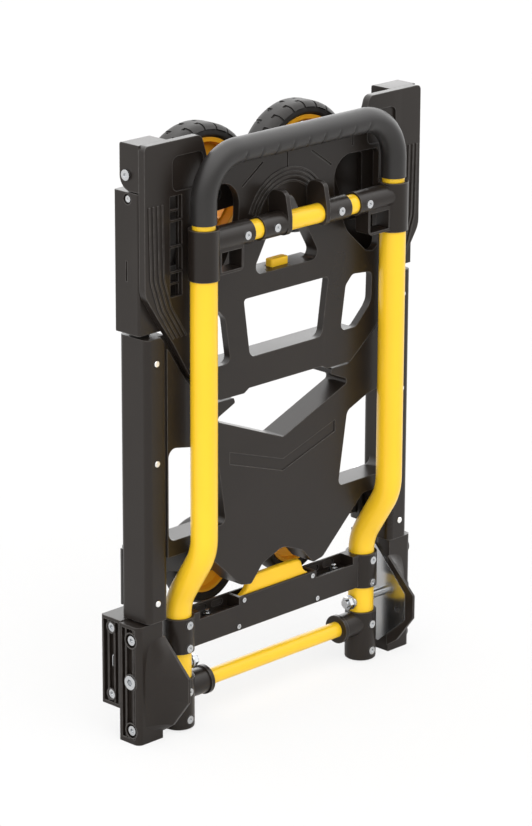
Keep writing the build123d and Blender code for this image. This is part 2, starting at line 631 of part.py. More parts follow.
with BuildPart() as rear_block:
    with BuildSketch(Plane.XY.offset(REAR_BOTTOM_Z)):
        with Locations(((BLOCK_IN_X + REAR_OUT_X) / 2, (BLOCK_BACK + REAR_BACK) / 2)):
            Rectangle(REAR_OUT_X - BLOCK_IN_X, REAR_BACK - BLOCK_BACK)
    extrude(amount=REAR_TOP_Z - REAR_BOTTOM_Z)
    fillet(
        rear_block.edges().filter_by(Axis.Z).sort_by(lambda e: e.center().X + e.center().Y)[-1],
        2.5,
    )
    block(
        REAR_OUT_X - RECESS, REAR_OUT_X, BLOCK_BACK + RECESS_RIM, REAR_BACK - RECESS_RIM,
        REAR_BOTTOM_Z + RECESS_RIM, REAR_TOP_Z - RECESS_RIM, mode=Mode.SUBTRACT,
    )
    for rib_y in (REAR_BOLT_Y - 6, REAR_BOLT_Y + 3.6):
        block(
            REAR_OUT_X - RECESS, REAR_OUT_X - 1, rib_y, rib_y + RECESS_RIB,
            REAR_BOTTOM_Z + RECESS_RIM, REAR_TOP_Z - RECESS_RIM,
        )
    for bolt_z in REAR_BOLT_ZS:
        x_rod(REAR_OUT_X - RECESS, REAR_OUT_X, REAR_BOLT_Y, bolt_z, CORNER_HEAD_R + 1.6)
        x_rod(
            REAR_OUT_X - RECESS, REAR_OUT_X + 1, REAR_BOLT_Y, bolt_z,
            CORNER_HEAD_R + SEAT_FIT, mode=Mode.SUBTRACT,
        )
        x_rod(
            REAR_OUT_X - RECESS - CORNER_SHANK, REAR_OUT_X, REAR_BOLT_Y, bolt_z,
            CORNER_SHANK_R + SEAT_FIT, mode=Mode.SUBTRACT,
        )
    block(
        BLOCK_IN_X, REAR_OUT_X - 3 * RECESS, BLOCK_BACK + 2 * RECESS_RIM, REAR_BACK,
        REAR_BOTTOM_Z + 5 * RECESS_RIM, REAR_TOP_Z - 5 * RECESS_RIM, mode=Mode.SUBTRACT,
    )
    z_rod(TUBE_X, TUBE_Y, TUBE_BOTTOM_Z, REAR_TOP_Z + 1, TUBE_R + SEAT_FIT, mode=Mode.SUBTRACT)
save_pair(rear_block.part, "rear_block")

with BuildPart() as pivot_plates:
    for side in (-1, 1):
        with BuildSketch(side_plane(side * BLOCK_IN_X)):
            with BuildLine():
                FilletPolyline(*PLATE, radius=3, close=True)
            make_face()
            with Locations((0, PIVOT_Z)):
                Circle(BOLT_R + SEAT_FIT, mode=Mode.SUBTRACT)
            with Locations((-PLATE_FRONT + 12, PIVOT_Z - 15)):
                Circle(PLATE_HOLE_R, mode=Mode.SUBTRACT)
        extrude(amount=-side * PLATE_THICK)
save(pivot_plates.part, "pivot_plates")

# Pivot bolts: from the block's outer face through the plate and the leg to a flanged nut
PIVOT_HEAD_X = BLOCK_OUT_X - RECESS
BUSH_OUT_X = LEG_X + LEG_R + BUSH_PROUD
BUSH_IN_X = LEG_X - LEG_R - BUSH_PROUD
NUT_FACE_X = BUSH_IN_X - FACE_GAP
BOLT_END_X = NUT_FACE_X - NUT_THICK - BOLT_PROUD
with BuildPart() as pivot_bolts:
    for side in (-1, 1):
        x_rod(side * BOLT_END_X, side * PIVOT_HEAD_X, 0, PIVOT_Z, BOLT_R)
        x_rod(side * PIVOT_HEAD_X, side * (PIVOT_HEAD_X + BOLT_HEAD), 0, PIVOT_Z, BOLT_HEAD_R)
        with BuildSketch(side_plane(side * (PIVOT_HEAD_X + BOLT_HEAD))):
            with Locations((0, PIVOT_Z)):
                RegularPolygon(BOLT_HEAD_R * 0.55, 6)
        extrude(amount=-side * BOLT_HEAD / 2, mode=Mode.SUBTRACT)
save(pivot_bolts.part, "pivot_bolts")

with BuildPart() as pivot_nuts:
    for side in (-1, 1):
        with BuildSketch(side_plane(side * NUT_FACE_X)):
            with Locations((0, PIVOT_Z)):
                RegularPolygon(NUT_FLATS / 2, 6, major_radius=False)
        extrude(amount=-side * NUT_THICK)
        x_rod(side * NUT_FACE_X, side * (NUT_FACE_X - 2), 0, PIVOT_Z, NUT_FLATS / 2 + NUT_FLANGE)
        x_rod(
            side * NUT_FACE_X, side * (NUT_FACE_X - NUT_THICK), 0, PIVOT_Z, BOLT_R, mode=Mode.SUBTRACT
        )
save(pivot_nuts.part, "pivot_nuts")

# Wheel covers: fixed sleeves on the frame tubes, open at the back and the inner side
COVER_SLOT_Z = (COVER_BOTTOM_Z + COVER_TOP_Z) / 2 - 9.0
with BuildPart() as wheel_cover:
    with BuildSketch(Plane.XY.offset(COVER_BOTTOM_Z)):
        with Locations(((COVER_IN_X + COVER_OUT_X) / 2, (COVER_BACK - COVER_FRONT) / 2)):
            RectangleRounded(COVER_OUT_X - COVER_IN_X, COVER_BACK + COVER_FRONT, 2.5)
    extrude(amount=COVER_TOP_Z - COVER_BOTTOM_Z)
    block(
        COVER_IN_X - 1, COVER_OUT_X - COVER_WALL, -COVER_FRONT + COVER_WALL, COVER_BACK + 1,
        COVER_BOTTOM_Z + COVER_CAP, COVER_TOP_Z - COVER_CAP, mode=Mode.SUBTRACT,
    )
    z_rod(
        TUBE_X, TUBE_Y, COVER_BOTTOM_Z - 1, COVER_TOP_Z + 1, TUBE_R + SEAT_FIT, mode=Mode.SUBTRACT
    )
    x_rod(COVER_OUT_X - COVER_SINK, COVER_OUT_X + 1, HINGE_Y, COVER_BOLT_Z, COVER_SINK_R, mode=Mode.SUBTRACT)
    block(
        COVER_OUT_X - 1.5, COVER_OUT_X + 1, HINGE_Y + 1, HINGE_Y + 3,
        COVER_SLOT_Z - COVER_SLOT / 2, COVER_SLOT_Z + COVER_SLOT / 2, mode=Mode.SUBTRACT,
    )
save_pair(wheel_cover.part, "wheel_cover")

with BuildPart() as frame_bolts:
    for side in (-1, 1):
        places = [(BLOCK_OUT_X, 0, z) for z in FRONT_BOLT_ZS]
        places += [(REAR_OUT_X, REAR_BOLT_Y, z) for z in REAR_BOLT_ZS]
        for face_x, bolt_y, bolt_z in places:
            seat = side * (face_x - RECESS)
            x_rod(seat, seat + side * CORNER_HEAD, bolt_y, bolt_z, CORNER_HEAD_R)
            x_rod(seat, seat - side * CORNER_SHANK, bolt_y, bolt_z, CORNER_SHANK_R)
            x_rod(
                seat + side * CORNER_HEAD / 2, seat + side * CORNER_HEAD, bolt_y, bolt_z,
                CORNER_HEAD_R * 0.45, mode=Mode.SUBTRACT,
            )
        seat = side * (COVER_OUT_X - COVER_SINK)
        x_rod(seat, seat + side * SMALL_HEAD, HINGE_Y, COVER_BOLT_Z, COVER_BOLT_R - SEAT_FIT)
        x_rod(
            seat + side * SMALL_HEAD / 2, seat + side * SMALL_HEAD, HINGE_Y, COVER_BOLT_Z,
            COVER_BOLT_R * 0.4, mode=Mode.SUBTRACT,
        )
save(frame_bolts.part, "frame_bolts")

# Toe plate hinge: one pin on each side, through the ear and the frame tube
with BuildPart() as toe_hinge_pins:
    for side in (-1, 1):
        x_rod(side * (EAR_IN_X - 2), side * (EAR_OUT_X + FACE_GAP), HINGE_Y, HINGE_Z, HINGE_R)
        x_rod(
            side * (EAR_OUT_X + FACE_GAP), side * (EAR_OUT_X + FACE_GAP + HINGE_HEAD), HINGE_Y,
            HINGE_Z, HINGE_HEAD_R,
        )
        x_rod(
            side * (EAR_OUT_X + FACE_GAP + HINGE_HEAD / 2), side * (EAR_OUT_X + FACE_GAP + HINGE_HEAD),
            HINGE_Y, HINGE_Z, HINGE_HEAD_R * 0.4, mode=Mode.SUBTRACT,
        )
save(toe_hinge_pins.part, "toe_hinge_pins")

# Toe plate: a face with walls and ribs behind it, a deep shelf under its windows and a carry ledge
TOE_HALF = [
    (45.0, HINGE_Z + 12, 40.0),
    (98.0, HINGE_Z + 7, 10.0),
    (117.0, HINGE_Z - 11, 5.0),
    (131.0, TOE_TOP_Z, 9.0),
    (EAR_OUT_X, TOE_TOP_Z, TOE_CORNER_R),
    (EAR_OUT_X, LEDGE_Z + 8, 25.0),
    (EAR_OUT_X - 21, LEDGE_Z - 24, 15.0),
    (EAR_OUT_X - 41, LEDGE_Z - 52, 15.0),
    (147.0, TOE_BOTTOM_Z + 30, 30.0),
    (104.0, TOE_BOTTOM_Z - 4, 8.0),
    (66.0, TOE_BOTTOM_Z - 4.5, 2.0),
    (58.0, TOE_BOTTOM_Z, 2.0),
]
TOE_SHELF_Z = TOE_BOTTOM_Z + 35.0
CARRY_OPENING = [(0.0, LEDGE_Z + 94, 13.0), (CARRY_BAR_X, LEDGE_Z, 9.0), (-CARRY_BAR_X, LEDGE_Z, 9.0)]
TOE_WINDOW = [
    (67.0, BAR_UNDER_Z, 4.0), (57.0, TOE_SHELF_Z, 9.0), (-57.0, TOE_SHELF_Z, 9.0), (-67.0, BAR_UNDER_Z, 4.0),
]
WHEEL_WINDOW = [
    (74.0, HINGE_Z - 25, 26.0), (147.0, HINGE_Z - 27, 8.0), (147.0, LEDGE_Z - 10, 10.0),
    (128.0, LEDGE_Z - 6, 14.0), (96.0, LEDGE_Z + 23, 30.0), (75.0, LEDGE_Z + 67, 20.0),
]
SIDE_WINDOW = [
    (87.0, TOE_SHELF_Z, 7.0), (95.0, BAR_UNDER_Z - 16, 10.0), (106.0, BAR_UNDER_Z - 5, 8.0),
    (138.0, BAR_UNDER_Z - 8, 6.0), (137.0, BAR_UNDER_Z - 44, 18.0), (112.0, TOE_SHELF_Z, 8.0),
]
SIDE_SLOT_X = (EAR_OUT_X - 54.5, EAR_OUT_X - 37.0)
SIDE_SLOT_Z = (LEDGE_Z - 1, EAR_BOTTOM_Z - 7.5)
SIDE_SLOTS = 4
ARCH_Z = LEDGE_Z + 49.0
ARCH_RS = (48.0, 53.0, 58.0, 63.0)
SIDE_RIDGES = (6.0, 12.0, 18.5, 25.0)     # from the plate's edge
RAYS = [
    [(38.0, HINGE_Z - 12), (70.0, HINGE_Z - 34)],
    [(104.0, HINGE_Z - 4), (104.0, HINGE_Z - 18)],
]

with BuildPart() as toe_plate:
    with BuildSketch(front_plane(-TOE_FRONT)) as toe_face:
        with BuildLine():
            rounded(both_sides(TOE_HALF))
        make_face()
        windows = [CARRY_OPENING, TOE_WINDOW, WHEEL_WINDOW, SIDE_WINDOW]
        windows += [[(-x, z, r) for x, z, r in points] for points in (WHEEL_WINDOW, SIDE_WINDOW)]
        for points in windows:
            with BuildLine():
                rounded(points)
            make_face(mode=Mode.SUBTRACT)
    extrude(amount=-TOE_FLANGE)
    with BuildSketch(front_plane(-TOE_FRONT + TOE_SKIN)) as toe_hollow:
        offset(toe_face.sketch.face(), amount=-TOE_WALL)
        for rib in range(-5, 6):
            with Locations((rib * TOE_RIB_PITCH, TOE_TOP_Z / 2)):
                Rectangle(TOE_RIB, TOE_TOP_Z, mode=Mode.SUBTRACT)
        for rib in range(int((TOE_TOP_Z - TOE_BOTTOM_Z) / TOE_RIB_PITCH) + 1):
            with Locations((0, TOE_BOTTOM_Z + (rib + 0.5) * TOE_RIB_PITCH)):
                Rectangle(2 * EAR_OUT_X, TOE_RIB, mode=Mode.SUBTRACT)
    extrude(amount=-TOE_FLANGE, mode=Mode.SUBTRACT)
    with BuildSketch(front_plane(-TOE_FRONT)) as carry_wall:
        with BuildLine():
            rounded(CARRY_OPENING)
        make_face()
        offset(amount=TOE_WALL)
        with BuildLine():
            rounded(CARRY_OPENING)
        make_face(mode=Mode.SUBTRACT)
    extrude(amount=-CARRY_DEPTH)
    shelf_back = -TOE_FRONT + TOE_SHELF_DEPTH
    for half, low_z, high_z in (
        (TOE_SHELF_X, TOE_SHELF_Z - TOE_SHELF_HEIGHT, TOE_SHELF_Z), (CARRY_BAR_X, BAR_UNDER_Z, LEDGE_Z),
    ):
        block(-half, half, -TOE_FRONT + TOE_SKIN, shelf_back, high_z - TOE_WALL, high_z)
        block(-half, half, -TOE_FRONT + TOE_SKIN, shelf_back, low_z, low_z + TOE_WALL)
        webs = round(2 * half / TOE_RIB_PITCH)
        for web in range(webs + 1):
            web_x = (half - TOE_RIB / 2) * (2 * web / webs - 1)
            block(
                web_x - TOE_RIB / 2, web_x + TOE_RIB / 2, -TOE_FRONT + TOE_SKIN, shelf_back, low_z, high_z
            )
    for side in (-1, 1):
        slot_pitch = (SIDE_SLOT_Z[1] - SIDE_SLOT_Z[0]) / SIDE_SLOTS
        for row in range(SIDE_SLOTS):
            slot_z = SIDE_SLOT_Z[0] + row * slot_pitch
            block(
                side * SIDE_SLOT_X[0], side * SIDE_SLOT_X[1], -TOE_FRONT - 1, -TOE_FRONT + TOE_SKIN + 1,
                slot_z + TOE_RIB / 2, slot_z + slot_pitch - TOE_RIB / 2, mode=Mode.SUBTRACT,
            )
        for ridge in SIDE_RIDGES:
            edge = EAR_OUT_X - ridge
            with BuildSketch(front_plane(-TOE_FRONT)):
                with BuildLine():
                    FilletPolyline(
                        (side * edge, EAR_BOTTOM_Z - 15), (side * (edge - 2), LEDGE_Z + 22),
                        (side * (edge - 13), LEDGE_Z - 11), (side * (edge - 35), LEDGE_Z - 46), radius=25,
                    )
                trace(line_width=GROOVE_WIDTH)
            extrude(amount=GROOVE)
        for start, end in RAYS:
            with BuildSketch(front_plane(-TOE_FRONT)):
                with BuildLine():
                    Polyline((side * start[0], start[1]), (side * end[0], end[1]))
                trace(line_width=GROOVE_WIDTH)
            extrude(amount=-GROOVE, mode=Mode.SUBTRACT)
        with BuildSketch(front_plane(-TOE_FRONT)):
            with Locations((side * (EAR_IN_X - EAR_DISH_SIZE[0] / 2), HINGE_Z - EAR_DISH)):
                RectangleRounded(*EAR_DISH_SIZE, 8)
        extrude(amount=-EAR_DISH, mode=Mode.SUBTRACT)
    with BuildSketch(front_plane(-TOE_FRONT)):
        with BuildLine():
            Polyline((0, HINGE_Z + 3), (0, ARCH_Z + ARCH_RS[-1]))
        trace(line_width=GROOVE_WIDTH)
    extrude(amount=-GROOVE, mode=Mode.SUBTRACT)
    for arch_r in ARCH_RS:
        with BuildSketch(front_plane(-TOE_FRONT)):
            with BuildLine():
                CenterArc((0, ARCH_Z), arch_r, 20, 140)
            trace(line_width=GROOVE_WIDTH)
        extrude(amount=GROOVE)
    block(
        -BUTTON_LENGTH / 2 - TOE_WALL - 1, BUTTON_LENGTH / 2 + TOE_WALL + 1,
        BUTTON_Y - BUTTON_DEPTH / 2 - TOE_WALL, BUTTON_Y + BUTTON_DEPTH / 2 + TOE_WALL,
        BAR_UNDER_Z, LEDGE_Z,
    )
    block(
        -BUTTON_LENGTH / 2 - FACE_GAP, BUTTON_LENGTH / 2 + FACE_GAP,
        BUTTON_Y - BUTTON_DEPTH / 2 - FACE_GAP, BUTTON_Y + BUTTON_DEPTH / 2 + FACE_GAP,
        POCKET_FLOOR_Z, LEDGE_Z + 1, mode=Mode.SUBTRACT,
    )
save(toe_plate.part, "toe_plate")

# Hinge blocks: behind the toe plate's upper corners, slotted for the frame tubes
with BuildPart() as hinge_block:
    with BuildSketch(side_plane(EAR_IN_X)):
        with BuildLine():
            FilletPolyline(
                (-TOE_FRONT + TOE_FLANGE, EAR_BOTTOM_Z), (-TOE_FRONT + TOE_FLANGE, TOE_TOP_Z),
                (EAR_BACK, TOE_TOP_Z), (EAR_BACK, EAR_BOTTOM_Z), radius=[0.5, 0.5, 3.0, EAR_CORNER_R],
                close=True,
            )
        make_face()
    extrude(amount=EAR_OUT_X - EAR_IN_X)
    block(
        TUBE_X - TUBE_R - EAR_SLOT_GAP, TUBE_X + TUBE_R + EAR_SLOT_GAP,
        HINGE_Y - EAR_SLOT_FRONT, EAR_BACK + 1, EAR_BOTTOM_Z - 1, HINGE_Z + EAR_SLOT_RISE,
        mode=Mode.SUBTRACT,
    )
    x_rod(EAR_IN_X - 1, EAR_OUT_X + 1, HINGE_Y, HINGE_Z, HINGE_R + RUN_FIT, mode=Mode.SUBTRACT)
save_pair(hinge_block.part, "hinge_block")

with BuildPart() as latch_button:
    block(
        -BUTTON_LENGTH / 2, BUTTON_LENGTH / 2, BUTTON_Y - BUTTON_DEPTH / 2, BUTTON_Y + BUTTON_DEPTH / 2,
        BUTTON_BOTTOM_Z, LEDGE_Z + BUTTON_RISE,
    )
    fillet(latch_button.edges().filter_by(Axis.Z), 3)
    fillet(latch_button.faces().sort_by(Axis.Z)[-1].edges(), 1.5)
    z_rod(
        0, BUTTON_Y, BUTTON_BOTTOM_Z, BUTTON_BOTTOM_Z + BUTTON_SKIRT - 2, SPRING_R + FACE_GAP,
        mode=Mode.SUBTRACT,
    )
save(latch_button.part, "latch_button")

with BuildPart() as latch_spring:
    z_rod(0, BUTTON_Y, POCKET_FLOOR_Z, BUTTON_BOTTOM_Z + BUTTON_SKIRT - 2, SPRING_R)
    z_rod(
        0, BUTTON_Y, POCKET_FLOOR_Z, BUTTON_BOTTOM_Z + BUTTON_SKIRT - 2, SPRING_R - SPRING_WALL,
        mode=Mode.SUBTRACT,
    )
save(latch_spring.part, "latch_spring")

# Handle legs
with BuildPart() as leg:
    with BuildLine(side_plane(LEG_X)):
        FilletPolyline(
            (0, LEG_BOTTOM_Z), (0, LEG_BEND_Z), (-LEG_OFFSET, LEG_KNEE_Z), (-LEG_OFFSET, LEG_TOP_Z),
            radius=LEG_BEND_R,
        )
    with BuildSketch(Plane.XY.offset(LEG_BOTTOM_Z)):
        with Locations((LEG_X, 0)):
            Circle(LEG_R)
            Circle(LEG_R - LEG_WALL, mode=Mode.SUBTRACT)
    sweep()
    x_rod(LEG_X - LEG_R - 1, LEG_X + LEG_R + 1, 0, PIVOT_Z, BUSH_R, mode=Mode.SUBTRACT)
    x_rod(LEG_X - LEG_R - 1, LEG_X, -LEG_OFFSET, CROSS_Z, LOCK_PIN_R + FACE_GAP, mode=Mode.SUBTRACT)
save_pair(leg.part, "leg")

with BuildPart() as pivot_bushes:
    for side in (-1, 1):
        x_rod(side * BUSH_IN_X, side * BUSH_OUT_X, 0, PIVOT_Z, BUSH_R)
        x_rod(side * BUSH_IN_X, side * BUSH_OUT_X, 0, PIVOT_Z, BOLT_R + RUN_FIT, mode=Mode.SUBTRACT)
save(pivot_bushes.part, "pivot_bushes")

# Collars with their side branches and gussets
BRANCH_SEAT_Y = -LEG_OFFSET - BRANCH_R + SINK
BRANCH_SHANK = BRANCH_R - CROSS_R - SINK - SEAT_FIT
with BuildPart() as collar:
    z_rod(LEG_X, -LEG_OFFSET, COLLAR_BOTTOM_Z, COLLAR_TOP_Z, COLLAR_R)
    x_rod(BRANCH_END_X, LEG_X, -LEG_OFFSET, CROSS_Z, BRANCH_R)
    block(
        GUSSET_END_X, LEG_X, -LEG_OFFSET - GUSSET_DEPTH / 2, -LEG_OFFSET + GUSSET_DEPTH / 2,
        COLLAR_BOTTOM_Z + GUSSET_WALL, CROSS_Z,
    )
    fillet(
        collar.edges().filter_by(Axis.Y).sort_by(lambda e: e.center().X + e.center().Z)[0],
        2 * GUSSET_WALL,
    )
    block(
        GUSSET_END_X + GUSSET_WALL, LEG_X - COLLAR_R, -LEG_OFFSET - GUSSET_DEPTH / 2 - 1,
        -LEG_OFFSET + GUSSET_DEPTH / 2 + 1, COLLAR_BOTTOM_Z + 2 * GUSSET_WALL, CROSS_Z - BRANCH_R,
        mode=Mode.SUBTRACT,
    )
    z_rod(LEG_X, -LEG_OFFSET, COLLAR_BOTTOM_Z - 1, LEG_TOP_Z, LEG_R, mode=Mode.SUBTRACT)
    z_rod(LEG_X, -LEG_OFFSET, LEG_TOP_Z - 1, COLLAR_TOP_Z + 1, INNER_R + FACE_GAP, mode=Mode.SUBTRACT)
    x_rod(BRANCH_END_X - 1, CROSS_END_X, -LEG_OFFSET, CROSS_Z, CROSS_R, mode=Mode.SUBTRACT)
    x_rod(CROSS_END_X, LEG_X, -LEG_OFFSET, CROSS_Z, LOCK_PIN_R + FACE_GAP, mode=Mode.SUBTRACT)
    front_screw_seat(BRANCH_SCREW_X, BRANCH_SEAT_Y, CROSS_Z, SCREW_HEAD_R, BRANCH_SHANK)
save_pair(collar.part, "collar")

with BuildPart() as cross_tube:
    x_rod(-CROSS_END_X, CROSS_END_X, -LEG_OFFSET, CROSS_Z, CROSS_R)
    x_rod(-CROSS_END_X, CROSS_END_X, -LEG_OFFSET, CROSS_Z, CROSS_R - CROSS_WALL, mode=Mode.SUBTRACT)
    for side in (-1, 1):
        with BuildSketch(front_plane(-LEG_OFFSET)):
            with Locations((side * (SLIDE_SCREW_X - SLIDE_TRAVEL / 2), CROSS_Z)):
                SlotCenterToCenter(SLIDE_TRAVEL + FACE_GAP, 2 * (SCREW_SHANK_R + FACE_GAP))
        extrude(amount=CROSS_R + 1, mode=Mode.SUBTRACT)
save(cross_tube.part, "cross_tube")

# Release slides: sleeves on the cross tube with finger tabs, each carrying a lock pin
SLIDE_SEAT_Y = -LEG_OFFSET - BRANCH_R + SINK
with BuildPart() as release_slide:
    x_rod(SLIDE_IN_X, SLIDE_OUT_X, -LEG_OFFSET, CROSS_Z, BRANCH_R)
    with BuildSketch(side_plane(SLIDE_IN_X)):
        with BuildLine():
            FilletPolyline(
                (-LEG_OFFSET - BRANCH_R, CROSS_Z - BRANCH_R), (-LEG_OFFSET - BRANCH_R, CROSS_Z + 8),
                (-LEG_OFFSET - 8, TAB_TOP_Z), (-LEG_OFFSET + BRANCH_R + 4, TAB_TOP_Z),
                (-LEG_OFFSET + BRANCH_R + 4, CROSS_Z - 2), (-LEG_OFFSET + BRANCH_R, CROSS_Z - BRANCH_R),
                radius=[10, 12, 9, 12, 10, 9], close=True,
            )
        make_face()
    extrude(amount=-TAB_THICK)
    x_rod(
        SLIDE_IN_X - TAB_THICK - 1, SLIDE_OUT_X + 1, -LEG_OFFSET, CROSS_Z, CROSS_R + 0.3,
        mode=Mode.SUBTRACT,
    )
    front_screw_seat(SLIDE_SCREW_X, SLIDE_SEAT_Y, CROSS_Z, SCREW_HEAD_R, BRANCH_R)
save_pair(release_slide.part, "release_slide")

with BuildPart() as lock_pin:
    x_rod(LOCK_PIN_IN_X, LOCK_PIN_TIP_X, -LEG_OFFSET, CROSS_Z, LOCK_PIN_R)
    front_screw(
        SLIDE_SCREW_X, SLIDE_SEAT_Y, CROSS_Z, SCREW_HEAD_R, SCREW_HEAD, -LEG_OFFSET - SLIDE_SEAT_Y
    )
save_pair(lock_pin.part, "lock_pin")

# Boots that clamp the legs' lower ends
BOOT_SEAT_Y = -BOOT_R + SINK
BOOT_SHANK = BOOT_R - LEG_R - SINK - SEAT_FIT
with BuildPart() as upper_boot:
    z_rod(LEG_X, 0, UPPER_BOOT_BOTTOM_Z, UPPER_BOOT_TOP_Z, BOOT_R)
    z_rod(LEG_X, 0, UPPER_BOOT_BOTTOM_Z - 1, UPPER_BOOT_TOP_Z + 1, LEG_R, mode=Mode.SUBTRACT)
    for screw_z in BOOT_SCREW_ZS[2:]:
        front_screw_seat(LEG_X, BOOT_SEAT_Y, screw_z, SCREW_HEAD_R, BOOT_SHANK)
save_pair(upper_boot.part, "upper_boot")

with BuildPart() as lower_boot:
    z_rod(LEG_X, 0, LOWER_BOOT_BOTTOM_Z, LOWER_BOOT_TOP_Z, BOOT_R)
    fillet(lower_boot.edges().group_by(Axis.Z)[0], 2)
    x_rod(BOSS_IN_X, LEG_X, 0, BAR_Z, BOSS_R)
    x_rod(BOSS_IN_X, BOSS_IN_X + BOSS_FLANGE, 0, BAR_Z, BOSS_FLANGE_R)
    x_rod(BOSS_IN_X - 1, BAR_END_X + SEAT_FIT, 0, BAR_Z, BAR_R + SEAT_FIT, mode=Mode.SUBTRACT)
    z_rod(LEG_X, 0, LEG_BOTTOM_Z, LOWER_BOOT_TOP_Z + 1, LEG_R, mode=Mode.SUBTRACT)
    for screw_z in BOOT_SCREW_ZS[:2]:
        front_screw_seat(LEG_X, BOOT_SEAT_Y, screw_z, SCREW_HEAD_R, BOOT_SHANK)
save_pair(lower_boot.part, "lower_boot")

STUD_Y = (CHANNEL_BACK - CHANNEL_FRONT) / 2
with BuildPart() as cross_channel:
    block(-LEG_X, LEG_X, -CHANNEL_FRONT, CHANNEL_BACK, CHANNEL_BOTTOM_Z, CHANNEL_TOP_Z)
    fillet(cross_channel.edges().filter_by(Axis.X), 1.5)
    block(
        -PEDAL_BAY_X, PEDAL_BAY_X, -CHANNEL_FRONT + CHANNEL_WALL, CHANNEL_BACK - CHANNEL_WALL,
        CHANNEL_BOTTOM_Z - 1, CHANNEL_TOP_Z + 1, mode=Mode.SUBTRACT,
    )
    for side in (-1, 1):
        block(
            side * (PEDAL_BAY_X + PEDAL_WEB), side * TRAY_OUT_X, -CHANNEL_FRONT + CHANNEL_WALL,
            CHANNEL_BACK - CHANNEL_WALL, CHANNEL_BOTTOM_Z - 1, TRAY_FLOOR_Z - TRAY_FLOOR,
            mode=Mode.SUBTRACT,
        )
        x_rod(
            side * PEDAL_BAY_X, side * (PEDAL_BAY_X + PEDAL_WEB), PEDAL_PIN_Y, PEDAL_PIN_Z,
            PEDAL_PIN_R + SEAT_FIT, mode=Mode.SUBTRACT,
        )
        block(
            side * TRAY_IN_X, side * TRAY_OUT_X, -CHANNEL_FRONT + CHANNEL_WALL,
            CHANNEL_BACK - CHANNEL_WALL, TRAY_FLOOR_Z, CHANNEL_TOP_Z + 1, mode=Mode.SUBTRACT,
        )
        block(
            side * TRAY_IN_X, side * TRAY_OUT_X, -CHANNEL_FRONT - 1, 0, CHANNEL_TOP_Z - TRAY_FRONT_DROP,
            CHANNEL_TOP_Z + 1, mode=Mode.SUBTRACT,
        )
        with BuildSketch(front_plane(CHANNEL_BACK - CHANNEL_WALL)):
            with Locations(*[(side * slot_x, CHANNEL_TOP_Z - SLOT_DROP) for slot_x in SLOT_XS]):
                SlotOverall(SLOT_LENGTH, 2 * SLOT_R)
        extrude(amount=-SLOT_SINK, mode=Mode.SUBTRACT)
        z_rod(
            side * SLOT_XS[1], STUD_Y, TRAY_FLOOR_Z - TRAY_FLOOR - 1, TRAY_FLOOR_Z + 1, STUD_R + SEAT_FIT,
            mode=Mode.SUBTRACT,
        )
        z_rod(
            side * LEG_X, 0, CHANNEL_BOTTOM_Z - 1, CHANNEL_TOP_Z + 1, BOOT_R + SEAT_FIT,
            mode=Mode.SUBTRACT,
        )
        for screw_x, screw_rise in CHANNEL_SCREWS:
            y_rod(
                side * screw_x, -CHANNEL_FRONT - 1, -CHANNEL_FRONT + CHANNEL_WALL,
                CHANNEL_BOTTOM_Z + screw_rise,
                SCREW_SHANK_R + SEAT_FIT, mode=Mode.SUBTRACT,
            )
save(cross_channel.part, "cross_channel")

with BuildPart() as handle_screws:
    for side in (-1, 1):
        for screw_z in BOOT_SCREW_ZS:
            front_screw(side * LEG_X, BOOT_SEAT_Y, screw_z, SCREW_HEAD_R, SCREW_HEAD, BOOT_SHANK)
        front_screw(
            side * BRANCH_SCREW_X, BRANCH_SEAT_Y, CROSS_Z, SCREW_HEAD_R, SCREW_HEAD, BRANCH_SHANK
        )
        for screw_x, screw_rise in CHANNEL_SCREWS:
            front_screw(
                side * screw_x, -CHANNEL_FRONT, CHANNEL_BOTTOM_Z + screw_rise, SMALL_HEAD_R, SMALL_HEAD,
                CHANNEL_WALL,
            )
        stud_x = side * SLOT_XS[1]
        z_rod(stud_x, STUD_Y, TRAY_FLOOR_Z - TRAY_FLOOR - 4, TRAY_FLOOR_Z + STUD_RISE, STUD_R)
        with BuildSketch(Plane.XY.offset(TRAY_FLOOR_Z)):
            with Locations((stud_x, STUD_Y)):
                RegularPolygon(STUD_NUT_R, 6)
        extrude(amount=STUD_NUT)
save(handle_screws.part, "handle_screws")

with BuildPart() as foot_bar:
    x_rod(-BAR_END_X, BAR_END_X, 0, BAR_Z, BAR_R)
save(foot_bar.part, "foot_bar")

# Release pedal: a tongue that rises out of the channel between its trays and tips to the back
PEDAL_NECK_Z = CHANNEL_TOP_Z + PEDAL_NECK
PEDAL_RIGHT = [
    (PEDAL_TOP_HALF, PEDAL_TOP_Z, 8.0),
    (PEDAL_TOP_HALF + 5, PEDAL_NECK_Z, 12.0),
    (PEDAL_HALF, CHANNEL_TOP_Z - 3, 4.0),
    (PEDAL_HALF, PEDAL_PIN_Z, 0.5),
]
with BuildPart() as release_pedal:
    with BuildSketch(front_plane(-PEDAL_FRONT)):
        with BuildLine():
            rounded(both_sides(PEDAL_RIGHT))
        make_face()
    extrude(amount=-PEDAL_THICK)
    fillet(release_pedal.faces().sort_by(Axis.Z)[-1].edges().filter_by(Axis.X), PEDAL_THICK / 3)
    x_rod(-PEDAL_HALF, PEDAL_HALF, PEDAL_PIN_Y, PEDAL_PIN_Z, PEDAL_THICK / 2)
    x_rod(
        -PEDAL_HALF, PEDAL_HALF, PEDAL_PIN_Y, PEDAL_PIN_Z, PEDAL_PIN_R + RUN_FIT, mode=Mode.SUBTRACT
    )
save(release_pedal.part, "release_pedal")

with BuildPart() as pedal_pin:
    x_rod(
        -PEDAL_BAY_X - PEDAL_WEB, PEDAL_BAY_X + PEDAL_WEB, PEDAL_PIN_Y, PEDAL_PIN_Z, PEDAL_PIN_R
    )
save(pedal_pin.part, "pedal_pin")

